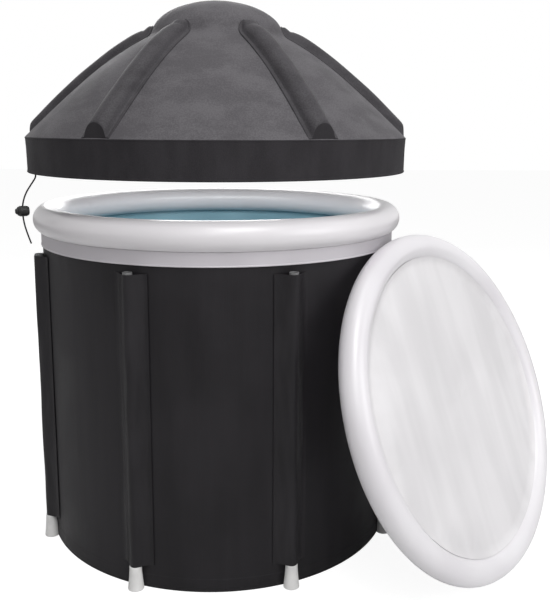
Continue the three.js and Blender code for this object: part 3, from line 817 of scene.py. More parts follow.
@dataclass
class Studio:
    """Camera, lamps, floor and backdrop."""

    lens: float = 47.93
    sensor: float = 36.0
    eye: Place = (0.07969, -1.86595, 0.92514)
    yaw: float = 1.60
    pitch: float = 10.30
    roll: float = 0.26
    shift_up: float = -0.05
    near: float = 0.05
    soft_light: float = 0.22
    floor_size: float = 30.0
    floor_drop: float = 0.0004
    floor_tones: Pair = (0.86, 0.32)
    floor_glow: float = 0.9
    lamps: Sequence[tuple[str, Place, Place, float, float]] = (
        ("key_lamp", (0.6, -1.85, 3.05), (0.1, -0.2, 0.6), 1.3, 40.0),
        ("front_lamp", (0.2, -2.7, 2.3), (0.1, 0.0, 0.7), 1.2, 14.0),
        ("top_lamp", (0.0, -0.3, 3.4), (0.0, 0.0, 0.6), 1.6, 18.0),
        ("right_lamp", (2.6, -1.6, 1.6), (0.3, 0.0, 0.5), 1.5, 23.0),
        ("back_lamp", (-0.5, 3.0, 1.9), (0.0, 0.0, 0.6), 1.8, 44.0),
        ("inside_lamp", (0.0, 0.0, 0.87), (0.0, 0.0, 0.0), 0.3, 1.9),
    )

    def build(self) -> None:
        """Sets up the whole studio."""
        self.camera()
        self.world()
        self.floor()
        for lamp in self.lamps:
            self.lamp(*lamp)
        bpy.context.scene.view_settings.view_transform = "Standard"

    def camera(self) -> None:
        """Places the camera at the photo's viewpoint."""
        yaw, pitch, roll = (math.radians(turn) for turn in (self.yaw, self.pitch, self.roll))
        ahead = Vector((
            math.sin(yaw) * math.cos(pitch), math.cos(yaw) * math.cos(pitch), -math.sin(pitch),
        ))
        level = Vector((math.cos(yaw), -math.sin(yaw), 0.0))
        above = level.cross(ahead)
        right = math.cos(roll) * level + math.sin(roll) * above
        up = -math.sin(roll) * level + math.cos(roll) * above
        data = bpy.data.cameras.new("camera")
        data.lens, data.sensor_width, data.shift_y = self.lens, self.sensor, self.shift_up
        data.clip_start = self.near
        data.dof.use_dof = False
        made = bpy.data.objects.new("camera", data)
        made.matrix_world = Matrix.Translation(self.eye) @ Matrix((right, up, -ahead)).transposed().to_4x4()
        bpy.context.scene.collection.objects.link(made)
        bpy.context.scene.camera = made

    def lamp(self, name: str, place: Place, target: Place, size: float, power: float) -> None:
        """Adds a soft square lamp.

        Args:
            name: The lamp's name.
            place: Where it stands.
            target: What it points at.
            size: Side of its square.
            power: Watts.
        """
        data = bpy.data.lights.new(name, "AREA")
        data.size, data.energy = size, power
        made = bpy.data.objects.new(name, data)
        made.visible_camera = False
        made.location = place
        made.rotation_euler = (Vector(target) - Vector(place)).to_track_quat("-Z", "Y").to_euler()
        bpy.context.scene.collection.objects.link(made)

    def world(self) -> None:
        """Lights the scene softly from all round, with a white backdrop for what looks at it."""
        world = bpy.data.worlds.new("backdrop")
        bpy.context.scene.world = world
        world.use_nodes = True
        world.node_tree.nodes.clear()
        nodes = Nodes(world.node_tree)
        path = nodes.node("LightPath", {}).outputs
        kinds = ("Is Camera Ray", "Is Transmission Ray", "Is Glossy Ray")
        seen = nodes.blend(*(path[kind] for kind in kinds), by="MAXIMUM")
        level = nodes.out("MapRange", {"Value": seen, "To Min": self.soft_light, "To Max": 1.0})
        light = nodes.out("Background", {"Color": WHITE, "Strength": level})
        nodes.node("OutputWorld", {"Surface": light})

    def floor(self) -> None:
        """Lays a pale floor that keeps a light shadow."""
        half = self.floor_size / 2
        corners = [(-half, -half), (half, -half), (half, half), (-half, half)]
        mesh = bpy.data.meshes.new("floor")
        mesh.from_pydata([(x, y, -self.floor_drop) for x, y in corners], [], [(0, 1, 2, 3)])
        made = bpy.data.objects.new("floor", mesh)
        bpy.context.scene.collection.objects.link(made)
        material = bpy.data.materials.new("pale_floor")
        material.use_nodes = True
        material.node_tree.nodes.clear()
        nodes = Nodes(material.node_tree)
        seen = nodes.node("LightPath", {}).outputs["Is Camera Ray"]
        lit, shown = self.floor_tones
        tone = nodes.out("MapRange", {"Value": seen, "To Min": lit, "To Max": shown})
        matt = nodes.out("BsdfDiffuse", {"Color": tone})
        glow = nodes.out("Math", {0: seen, 1: self.floor_glow}, operation="MULTIPLY")
        white = nodes.out("Emission", {"Color": WHITE, "Strength": glow})
        nodes.node("OutputMaterial", {"Surface": nodes.out("AddShader", {0: matt, 1: white})})
        mesh.materials.append(material)


# Drawstring


@dataclass
class Drawstring:
    """The cord in the cover's hem, its free end and the lock on it."""

    azimuth: float = -60.0
    loop_radius: float = 0.4215
    loop_height: float = 0.8255
    loop_sides: int = 240
    hem_bottom: float = 0.8226
    diameter: float = 0.0032
    sides: int = 14
    steps: int = 8
    lock_edges: Place = (0.0022, 0.0004, 0.0001)
    route: Sequence[Pair] = (
        (0.0, 0.001), (0.0, -0.0025), (0.0009, -0.006), (0.0032, -0.010), (0.0074, -0.016),
        (0.013, -0.024), (0.0184, -0.032), (0.023, -0.041), (0.0264, -0.050), (0.0286, -0.059),
        (0.0294, -0.066), (0.0295, -0.073), (0.0294, -0.080), (0.029, -0.088), (0.0276, -0.098),
        (0.0254, -0.108), (0.0224, -0.119), (0.019, -0.130), (0.0153, -0.141),
    )

    def build(self) -> None:
        """Makes the cord's pieces and dresses the lock."""
        body_edge, button_edge, spring_edge = self.lock_edges
        lock = [
            redress("cord_lock_body", BLACK_PLASTIC, body_edge),
            redress("cord_lock_button", BLACK_PLASTIC, button_edge),
            redress("cord_lock_spring", SPRING_STEEL, spring_edge),
        ]
        self.free_end()
        section = circle(self.diameter / 2, (self.loop_radius, self.loop_height), self.sides)
        loop = turned(section, self.loop_sides)
        Piece("cord_in_hem", Body.COVER, BLACK_CORD, ["drawstring_loop"]).build(loop)

    def line(self) -> np.ndarray:
        """Draws the free cord's middle line.

        Returns:
            Closely spaced points.
        """
        out = Vector((math.sin(math.radians(self.azimuth)), -math.cos(math.radians(self.azimuth)), 0.0))
        points = [
            out * (self.loop_radius + away) + Vector((0, 0, self.hem_bottom + up))
            for away, up in self.route
        ]
        return smooth_line(np.array([tuple(p) for p in points]), self.steps)

    def free_end(self) -> None:
        """Makes the stretch of cord that hangs out of the hem.
        """
        line = self.line()
        along = np.gradient(line, axis=0)
        along /= np.linalg.norm(along, axis=1, keepdims=True)
        side = np.array(spoke(self.azimuth).to_3x3() @ Vector((1, 0, 0)))
        across = np.cross(along, side)
        turn = around(self.sides)[..., None]
        ring = np.cos(turn) * side + np.sin(turn) * across[:, None, :]
        sections = line[:, None, :] + ring * self.diameter / 2
        cord = Piece("free_cord", Body.COVER, BLACK_CORD, ["drawstring"]).build(swept(sections))


# Tub


@dataclass
class Shell:
    """Base, wall, foam and liner of the tub."""

    wall_radius: float = 0.400
    wall_thickness: float = 0.0012
    wall_heights: Pair = (0.0063, 0.6898)
    wall_inset: float = 0.0001
    wall_rounding: float = 0.0005
    wall_step: float = 0.009
    wall_fades: Pair = (0.12, 0.06)
    wall_slack: Ripple = Ripple(3, 0.0005, (3, 11), (0.2, 1.6))
    wall_pulls: Ripple = Ripple(5, 0.00016, (34, 90), (0.1, 0.8), 12)
    weld_height: float = 0.022
    weld_slope: float = 0.0012
    weld_stand: float = 0.0004
    base_thickness: float = 0.006
    base_rounding: float = 0.0018
    foam_radii: Pair = (0.3935, 0.3985)
    foam_top: float = 0.6880
    foam_rounding: float = 0.001
    foam_sides: int = 144
    pad_heights: Pair = (0.0063, 0.0143)
    pad_gap: float = 0.0004
    pad_rounding: float = 0.002
    liner_radius: float = 0.3932
    liner_thickness: float = 0.0012
    liner_bottom: float = 0.0146
    liner_rounding: float = 0.002
    liner_step: float = 0.012
    liner_fades: Place = (0.004, 0.1, 0.05)
    liner_slack: Ripple = Ripple(11, 0.0009, (5, 30), (0.5, 4.0), 12)
    liner_sides: int = 240
    sides: int = 288

    def build(self) -> None:
        """Makes the shell's pieces."""
        self.base()
        self.wall()
        self.foam()
        self.liner()

    def base(self) -> None:
        """Makes the board under the tub, with a rounded rim."""
        profile = rounded(band(0, self.wall_radius, 0, self.base_thickness), self.base_rounding, loop=False)
        Piece("base_board", Body.TUB, WALL_CLOTH, ["base_panel"]).build(turned(profile, self.sides, False))

    def wall(self) -> None:
        """Makes the outer wall, slightly uneven as soft cloth is, with a welded strip at its foot."""
        outer, inner = self.wall_radius, self.wall_radius - self.wall_thickness
        welded, bare = outer + self.weld_stand, outer - self.wall_inset
        bottom, top = self.wall_heights
        weld = bottom + self.weld_height
        profile = divided(rounded([
            (inner, bottom), (welded, bottom), (welded, weld),
            (bare, weld + self.weld_slope), (bare, top), (inner, top),
        ], self.wall_rounding, 2), self.wall_step)
        # The dents fade at the two edges and are left off inside.
        azimuth, height = around(self.sides), profile[:, 1:]
        above, below = self.wall_fades
        fade = share((height - weld) / above) * share((top - height) / below)
        fade = fade * (profile[:, :1] > outer - self.weld_stand)
        dents = (self.wall_slack.dip(azimuth, height) + self.wall_pulls.dip(azimuth, height)) * fade
        Piece("wall", Body.TUB, WALL_CLOTH, ["outer_wall"]).build(turned(profile, self.sides, True, dents))

    def foam(self) -> None:
        """Makes the foam round the liner and under it."""
        inner, outer = self.foam_radii
        low, high = self.pad_heights
        wall = turned(rounded(band(inner, outer, low, self.foam_top), self.foam_rounding), self.foam_sides)
        Piece("foam_wall", Body.TUB, FOAM, ["insulation_wall"]).build(wall)
        pad = rounded(band(0, inner - self.pad_gap, low, high), self.pad_rounding, loop=False)
        made = Piece("foam_floor", Body.TUB, FOAM, ["floor_pad"]).build(turned(pad, self.foam_sides, False))

    def liner(self) -> None:
        """Makes the film cup: its inner face stands off the foam a little, its floor rises in places."""
        outer, inner = self.liner_radius, self.liner_radius - self.liner_thickness
        low, floor, top = self.liner_bottom, self.liner_bottom + self.liner_thickness, self.foam_top
        corners = [(0, low), (outer, low), (outer, top), (inner, top), (inner, floor), (0, floor)]
        profile = rounded(corners, self.liner_rounding, 3, loop=False)
        profile = divided(profile, self.liner_step, loop=False)
        seam, centre, rim = self.liner_fades
        radius, height = profile[:, :1], profile[:, 1:]
        inside = (radius < inner + 1e-4) & (height > floor - 1e-4)
        on_wall = inside & (height > floor + seam)
        rise = share(radius / centre) * (inside & ~on_wall)
        way = np.hstack([-(on_wall * share((top - height) / rim)), rise])
        waves = np.abs(self.liner_slack.at(around(self.liner_sides), radius + height))
        film = turned(profile, self.liner_sides, False, waves, way)
        Piece("liner", Body.TUB, LINER_FILM, ["inner_liner"]).build(film)


@dataclass
class Ring:
    """The inflated ring round the tub's mouth, its skirt and its valve."""

    centre: Pair = (0.387, 0.719)
    tube: float = 0.031
    puckers: Ripple = Ripple(21, 0.0002, (40, 90), (0.0, 3.0), 14)
    slack: Ripple = Ripple(22, 0.00016, (3, 9), (0.0, 2.0))
    gather: Place = (0.35, 0.5, 0.5)
    skirt_radius: float = 0.4003
    skirt_thickness: float = 0.0012
    skirt_heights: Pair = (0.663, 0.6917)
    skirt_rounding: float = 0.0009
    bead: float = 0.0009
    bead_heights: Pair = (0.0022, 0.0034)
    valve_rise: float = 30.0
    valve_skirt: float = 0.0045
    sides: int = 360

    def build(self) -> None:
        """Makes the ring's pieces."""
        self.tube_film()
        self.skirt()
        self.valve()

    def tube_film(self) -> None:
        """Makes the tube, with small puckers on its inner side where the film is gathered."""
        waves = (self.puckers, self.slack)
        film = blown_tube(self.tube, self.centre, self.sides, waves, self.gather)
        made = Piece("ring_tube", Body.TUB, RING_FILM, ["top_ring"]).build(film)

    def skirt(self) -> None:
        """Makes the welded skirt, with a thin bead along its lower edge."""
        low, high = self.skirt_heights
        full, end = (low + rise for rise in self.bead_heights)
        inner, outer = self.skirt_radius, self.skirt_radius + self.skirt_thickness
        beaded = outer + self.bead
        profile = rounded([
            (inner, low), (beaded, low), (beaded, full), (outer, end), (outer, high), (inner, high),
        ], self.skirt_rounding)
        Piece("ring_skirt_band", Body.TUB, SKIRT_FILM, ["ring_skirt"]).build(turned(profile, self.sides))

    def valve(self) -> None:
        """Makes the flip valve on the ring's inner side, at the front."""
        rise = math.radians(self.valve_rise)
        radius, height = self.centre
        place = Vector((0.0, -(radius - self.tube * math.cos(rise)), height + self.tube * math.sin(rise)))
        at = Matrix.Translation(place) @ Matrix.Rotation(rise - math.pi / 2, 4, "X")
        FlipValve("ring", Body.TUB, Body.RING_VALVE, at, self.valve_skirt).build()


@dataclass
class FlipValve:
    """A flip valve: a flanged seat and a cap with a plug and a finger tab."""

    name: str
    seat_body: Body
    cap_body: Body
    at: Matrix
    skirt: float
    flange_radius: float = 0.013
    flange_top: float = 0.0016
    stem_radius: float = 0.007
    stem_length: float = 0.012
    bore: float = 0.0052
    seat_rounding: float = 0.0007
    cap_radius: float = 0.011
    cap_rounding: float = 0.0008
    cap_heights: Pair = (0.0019, 0.0043)
    plug: Pair = (0.0042, 0.003)
    dish: Place = (0.002, 0.003, 0.0006)
    tab: float = 0.0012
    tab_rim: Pair = (0.8, 0.2)
    tab_power: int = 10
    sides: int = 64

    def build(self) -> None:
        """Makes the seat and the cap."""
        valve = f"{self.name}_valve"
        seat = Piece(f"{valve}_seat", self.seat_body, VALVE_PLASTIC, [f"{valve}_body"], at=self.at)
        seat.build(self.seat())
        flap = Piece(f"{valve}_flap", self.cap_body, VALVE_PLASTIC, [f"{valve}_cap"], at=self.at)
        flap.build(self.cap())

    def seat(self) -> Solid:
        """Makes the flanged seat with its stem.

        Returns:
            The points and faces.
        """
        profile = rounded([
            (self.bore, -self.stem_length), (self.stem_radius, -self.stem_length),
            (self.stem_radius, -self.skirt), (self.flange_radius, -self.skirt),
            (self.flange_radius, self.flange_top), (self.bore, self.flange_top),
        ], self.seat_rounding, 3)
        return turned(profile, self.sides)

    def cap(self) -> Solid:
        """Makes the cap, its rim drawn out into a finger tab on the side away from its hinge.

        Returns:
            The points and faces.
        """
        low, high = self.cap_heights
        plug_radius, plug_length = self.plug
        edge, foot, depth = self.dish
        profile = rounded([
            (0, low - plug_length), (plug_radius, low - plug_length), (plug_radius, low),
            (self.cap_radius, low), (self.cap_radius, high), (self.cap_radius - edge, high),
            (self.cap_radius - foot, high - depth), (0, high - depth),
        ], self.cap_rounding, 3, loop=False)
        start, width = (part * self.cap_radius for part in self.tab_rim)
        rim = share((profile[:, :1] - start) / width)
        toward = share(np.cos(around(self.sides) - math.pi / 2)) ** self.tab_power
        return turned(profile, self.sides, False, self.tab * rim * toward)


@dataclass
class Legs:
    """The poles, their cloth sleeves and the feet."""

    count: int = 8
    first_azimuth: float = 22.5
    wall_radius: float = 0.400
    gap: float = 0.0003
    pole_centre: float = 0.4113
    pole_radii: Pair = (0.0075, 0.0095)
    pole_heights: Pair = (0.0083, 0.651)
    pole_rounding: float = 0.0008
    pole_sides: int = 40
    sleeve_heights: Pair = (0.0503, 0.6470)
    sleeve_half: float = 0.036
    sleeve_ridge: float = 0.031
    sleeve_thickness: float = 0.001
    sleeve_rows: int = 90
    sleeve_columns: int = 41
    sleeve_inside: float = 0.9
    sleeve_ripple: Ripple = Ripple(31, 0.0005, (1, 5), (2.0, 9.0), 10)
    end_reach: float = 0.06
    hem: float = 0.002
    arch: float = 0.0108
    foot_height: float = 0.050
    foot_radii: Pair = (0.0165, 0.0123)
    foot_floor: float = 0.008
    foot_rounding: float = 0.0011
    flare_power: float = 1.5
    flare_steps: int = 18
    foot_sides: int = 56

    def build(self) -> None:
        """Makes all the legs."""
        pole, sleeve, foot = self.pole(), self.sleeve(), self.foot()
        out = Matrix.Translation((0, -self.pole_centre, 0))
        for leg in range(1, self.count + 1):
            at = spoke(self.first_azimuth + 360 * (leg - 1) / self.count)
            Piece(f"pole_{leg}", Body.TUB, POLE_PLASTIC, [f"leg_pole_{leg}"], at=at @ out).build(pole)
            cloth = Piece(f"leg_sleeve_cloth_{leg}", Body.TUB, SLEEVE_CLOTH, [f"leg_sleeve_{leg}"], at=at)
            cloth.build(sleeve)
            Piece(f"foot_{leg}", Body.TUB, FOOT_PLASTIC, [f"foot_cap_{leg}"], at=at).build(foot)

    def pole(self) -> Solid:
        """Returns one plastic pole about its own axis."""
        profile = rounded(band(*self.pole_radii, *self.pole_heights), self.pole_rounding, 3)
        return turned(profile, self.pole_sides)

    def sleeve_line(self) -> np.ndarray:
        """Draws the sleeve's outer line across the wall.

        Returns:
            Points as distance across and distance out.
        """
        strip = self.gap + self.sleeve_thickness
        ridge = self.pole_centre - self.wall_radius + self.arch - strip
        across = np.linspace(-self.sleeve_ridge, self.sleeve_ridge, self.sleeve_columns)
        out = strip + ridge * (0.5 + 0.5 * np.cos(math.pi * across / self.sleeve_ridge))
        arch = np.stack([across, out], axis=1)
        edge = np.array([(self.sleeve_half, strip), (self.sleeve_half - self.hem, strip)])
        return np.vstack([edge * (-1, 1), arch, edge[::-1]])

    def sleeve(self) -> Solid:
        """Makes one sleeve at the front: a strip on the wall that arches over the pole.

        Returns:
            The points and faces.
        """
        line = self.sleeve_line()
        low, high = self.sleeve_heights
        inward = profile_normals(line)
        spread = share(np.abs(line[:, 0]) / self.sleeve_half)
        sections = []
        for height in np.linspace(low, high, self.sleeve_rows):
            loose = share(min(height - low, high - height) / self.end_reach)
            wave = self.sleeve_ripple.at(spread * math.pi, np.full(len(line), height))
            wave = wave * loose * (1 - spread**6)
            outer = line - inward * wave[:, None]
            inner = outer + inward * self.sleeve_thickness * self.sleeve_inside
            sections.append(self.on_wall(np.vstack([outer, inner[::-1]]), height))
        return swept(np.array(sections))

    def on_wall(self, section: np.ndarray, height: float) -> np.ndarray:
        """Bends a flat section round the wall, at the front.

        Args:
            section: Distances across and out.
            height: Of the section above the floor.

        Returns:
            Points in the tub's frame.
        """
        fall = section[:, 0] ** 2 / (2 * self.wall_radius)
        radius = self.wall_radius + section[:, 1] - fall
        return np.stack([section[:, 0], -radius, np.full(len(section), height)], axis=1)

    def foot(self) -> Solid:
        """Makes one foot at the front: a flared cup on the pole's end, flat against the wall.

        Returns:
            The points and faces.
        """
        wide, narrow = self.foot_radii
        bore = self.pole_radii[1] + self.gap
        flare = [
            (narrow + (wide - narrow) * (1 - rise) ** self.flare_power, self.foot_height * rise)
            for rise in np.linspace(0.0, 1.0, self.flare_steps)
        ]
        profile = rounded([
            (0, 0), *flare, (bore, self.foot_height), (bore, self.foot_floor), (0, self.foot_floor),
        ], self.foot_rounding, loop=False)
        points, faces = turned(profile, self.foot_sides, False)
        points = points - np.array((0, self.pole_centre, 0))
        radius = np.hypot(points[:, 0], points[:, 1])
        points[:, :2] *= np.maximum((self.wall_radius + self.gap) / radius, 1.0)[:, None]
        return points, faces


@dataclass
class Drain:
    """The drain at the back: gasket, flanged pipe, nut and screw cap."""

    height: float = 0.045
    pipe: Pair = (0.012, 0.0155)
    pipe_rounding: float = 0.0006
    clearance: float = 0.0004
    rounding: float = 0.0008
    flange_radius: float = 0.024
    gasket: Pair = (0.4004, 0.4028)
    flange: Pair = (0.4031, 0.4071)
    outlet: float = 0.4271
    inlet: float = 0.381
    thread_depth: float = 0.0006
    thread_ends: Pair = (0.002, 0.001)
    thread_steps: int = 15
    nut: Pair = (0.3821, 0.3901)
    cap: Place = (0.4074, 0.4274, 0.4304)
    cap_radii: Pair = (0.0159, 0.0189)
    cap_rounding: float = 0.0012
    cap_step: float = 0.002
    dish: Place = (0.006, 0.005, 0.0008)
    grips: int = 24
    grip_depth: float = 0.0007
    grip_margins: Pair = (0.0003, 0.002)
    sides: int = 96

    def build(self) -> None:
        """Makes the drain's pieces."""
        at = spoke(180) @ Matrix.Translation((0, 0, self.height)) @ Matrix.Rotation(math.pi / 2, 4, "X")
        bore = self.pipe[1] + self.clearance
        seal = rounded(band(bore, self.flange_radius, *self.gasket), self.rounding, 3)
        Piece("drain_seal", Body.TUB, BLACK_RUBBER, ["drain_gasket"], at=at).build(turned(seal, self.sides))
        Piece("drain_pipe", Body.TUB, BLACK_PLASTIC, ["drain_fitting"], at=at).build(self.fitting())
        nut = Piece("drain_ring_nut", Body.TUB, BLACK_PLASTIC, ["drain_nut"], at=at, crisp=30)
        nut.build(self.ring_nut())
        cap = Piece("drain_screw_cap", Body.DRAIN_CAP, BLACK_PLASTIC, ["drain_cap"], at=at)
        cap.build(self.screw_cap())

    def fitting(self) -> Solid:
        """Makes the pipe with its flange and its thread.

        Returns:
            The points and faces.
        """
        bore, pipe = self.pipe
        start, end = self.flange
        before, after = self.thread_ends
        turns = np.linspace(end + before, self.outlet - after, self.thread_steps)
        thread = [(pipe - (self.thread_depth if k % 2 else 0.0), z) for k, z in enumerate(turns)]
        profile = rounded([
            (bore, self.inlet), (pipe, self.inlet), (pipe, start), (self.flange_radius, start),
            (self.flange_radius, end), (pipe, end), *thread, (bore, self.outlet),
        ], self.pipe_rounding, 2)
        return turned(profile, self.sides)

    def ring_nut(self) -> Solid:
        """Makes the nut inside, its outside drawn out to six corners.

        Returns:
            The points and faces.
        """
        bore = self.pipe[1] + self.clearance
        flats = self.flange_radius * math.cos(math.pi / 6)
        profile = rounded(band(bore, flats, *self.nut), self.rounding, 3)
        local = (around(self.sides) + math.pi / 6) % (math.pi / 3) - math.pi / 6
        corner = flats / np.cos(local) - flats
        return turned(profile, self.sides, True, (profile[:, :1] > 0.5 * (bore + flats)) * corner)

    def screw_cap(self) -> Solid:
        """Makes the cap, with shallow grips cut into its side.

        Returns:
            The points and faces.
        """
        low, inside, top = self.cap
        bore, outer = self.cap_radii
        edge, foot, depth = self.dish
        profile = divided(rounded([
            (bore, low), (outer, low), (outer, top), (edge, top), (foot, top - depth),
            (0, top - depth), (0, inside), (bore, inside),
        ], self.cap_rounding, loop=False), self.cap_step, loop=False)
        profile = np.vstack([profile, profile[:1]])
        radius, height = profile[:, :1], profile[:, 1:]
        skin, margin = self.grip_margins
        side = (radius > outer - skin) & (height > low + margin) & (height < top - margin)
        sides = self.grips * 8
        cut = self.grip_depth * (0.5 - 0.5 * np.cos(self.grips * around(sides)))
        return turned(profile, sides, False, -1.0 * side * cut)


# Lid


@dataclass
class Lid:
    """The inflatable lid that leans on the tub."""

    tube_centre: float = 0.341
    tube: float = 0.029
    puckers: Ripple = Ripple(41, 0.0002, (36, 84), (0.0, 3.0), 14)
    slack: Ripple = Ripple(42, 0.00018, (3, 10), (0.0, 2.0))
    gather: Place = (0.3, 0.5, 0.0)
    face_rise: float = 0.0092
    face_inside: float = 0.0080
    weld_radius: float = 0.3166
    fillet: float = 0.022
    rows: tuple[int, int] = (50, 16)
    lifts: Pair = (0.0062, 0.0045)
    lift_power: float = 2.4
    crown: float = 0.0035
    front_pulls: Ripple = Ripple(51, 0.00045, (24, 60), (1.0, 6.0), 14)
    face_slack: Ripple = Ripple(53, 0.0006, (2, 7), (2.0, 6.0))
    pull_fades: Place = (0.24, 0.05, 0.01)
    slack_fades: Pair = (0.06, 0.04)
    valve_skirt: float = -0.0003
    sides: int = 360

    def placing(self) -> Matrix:
        """Finds how the lid lies.

        Returns:
            Its frame: +X along the floor, +Y up its slope, +Z out of its face.
        """
        front, back = middle("lid_front_panel"), middle("lid_back_panel")
        face = (front - back).normalized()
        hinge = next(j for j in frame["joints"] if j["child"] == Body.LID.value)
        along = Vector(hinge["axis"]).normalized()
        slope = face.cross(along).normalized()
        turn = Matrix((along, slope, along.cross(slope))).transposed().to_4x4()
        return Matrix.Translation((front + back) / 2) @ turn

    def build(self) -> None:
        """Makes the lid's pieces."""
        at = self.placing()
        centre, waves = (self.tube_centre, 0.0), (self.puckers, self.slack)
        film = blown_tube(self.tube, centre, self.sides, waves, self.gather)
        made = Piece("lid_tube", Body.LID, LID_FILM, ["lid_ring"], at=at).build(film)
        finish = replace(LID_FACE_FILM, lie=tuple(at.to_euler("XYZ")))
        Piece("lid_face", Body.LID, finish, ["lid_front_panel"], at=at).build(self.face(True))
        Piece("lid_back_face", Body.LID, finish, ["lid_back_panel"], at=at).build(self.face(False))
        there = at.inverted() @ middle("lid_valve_body")
        seat = Matrix.Translation((0.0, there.y, -self.face_rise)) @ Matrix.Rotation(math.pi, 4, "X")
        FlipValve("lid", Body.LID, Body.LID_VALVE, at @ seat, self.valve_skirt).build()

    def face(self, front: bool) -> Solid:
        """Makes one face of the lid: a film that curves up into the tube round it.

        Args:
            front: Whether it is the front face.

        Returns:
            The points and faces.
        """
        weld = self.weld_radius
        flat, curved = self.rows
        radii = np.concatenate([
            np.linspace(0, weld - self.fillet, flat),
            weld - self.fillet * (1 - np.linspace(0.04, 1, curved)),
        ])
        rim = share(1 - (weld - radii) / self.fillet) ** self.lift_power
        lift = self.lifts[0 if front else 1] * rim
        swell = (self.crown if front else 0.0) * (1 - (radii / weld) ** 2) ** 2
        outside = np.stack([radii, self.face_rise + lift + swell], axis=1)
        inside = np.stack([radii, outside[:, 1] - (self.face_rise - self.face_inside)], axis=1)
        profile = np.vstack([outside, inside[::-1]])
        pulls = self.front_pulls if front else replace(self.front_pulls, seed=self.front_pulls.seed + 1)
        # Radial pulls lie near the weld, and slack waves in the middle.
        azimuth, radius = around(self.sides), profile[:, :1]
        (start, grow, end), (centre, edge) = self.pull_fades, self.slack_fades
        near = share((radius - start) / grow) * share((weld - radius) / end)
        away = share(radius / centre) * share((weld - radius) / edge)
        waves = pulls.at(azimuth, radius) * near + self.face_slack.at(azimuth, radius) * away
        points, faces = turned(profile, self.sides, False, waves, UPWARD)
        points[:, 2] *= 1.0 if front else -1.0
        return points, faces


# Cover


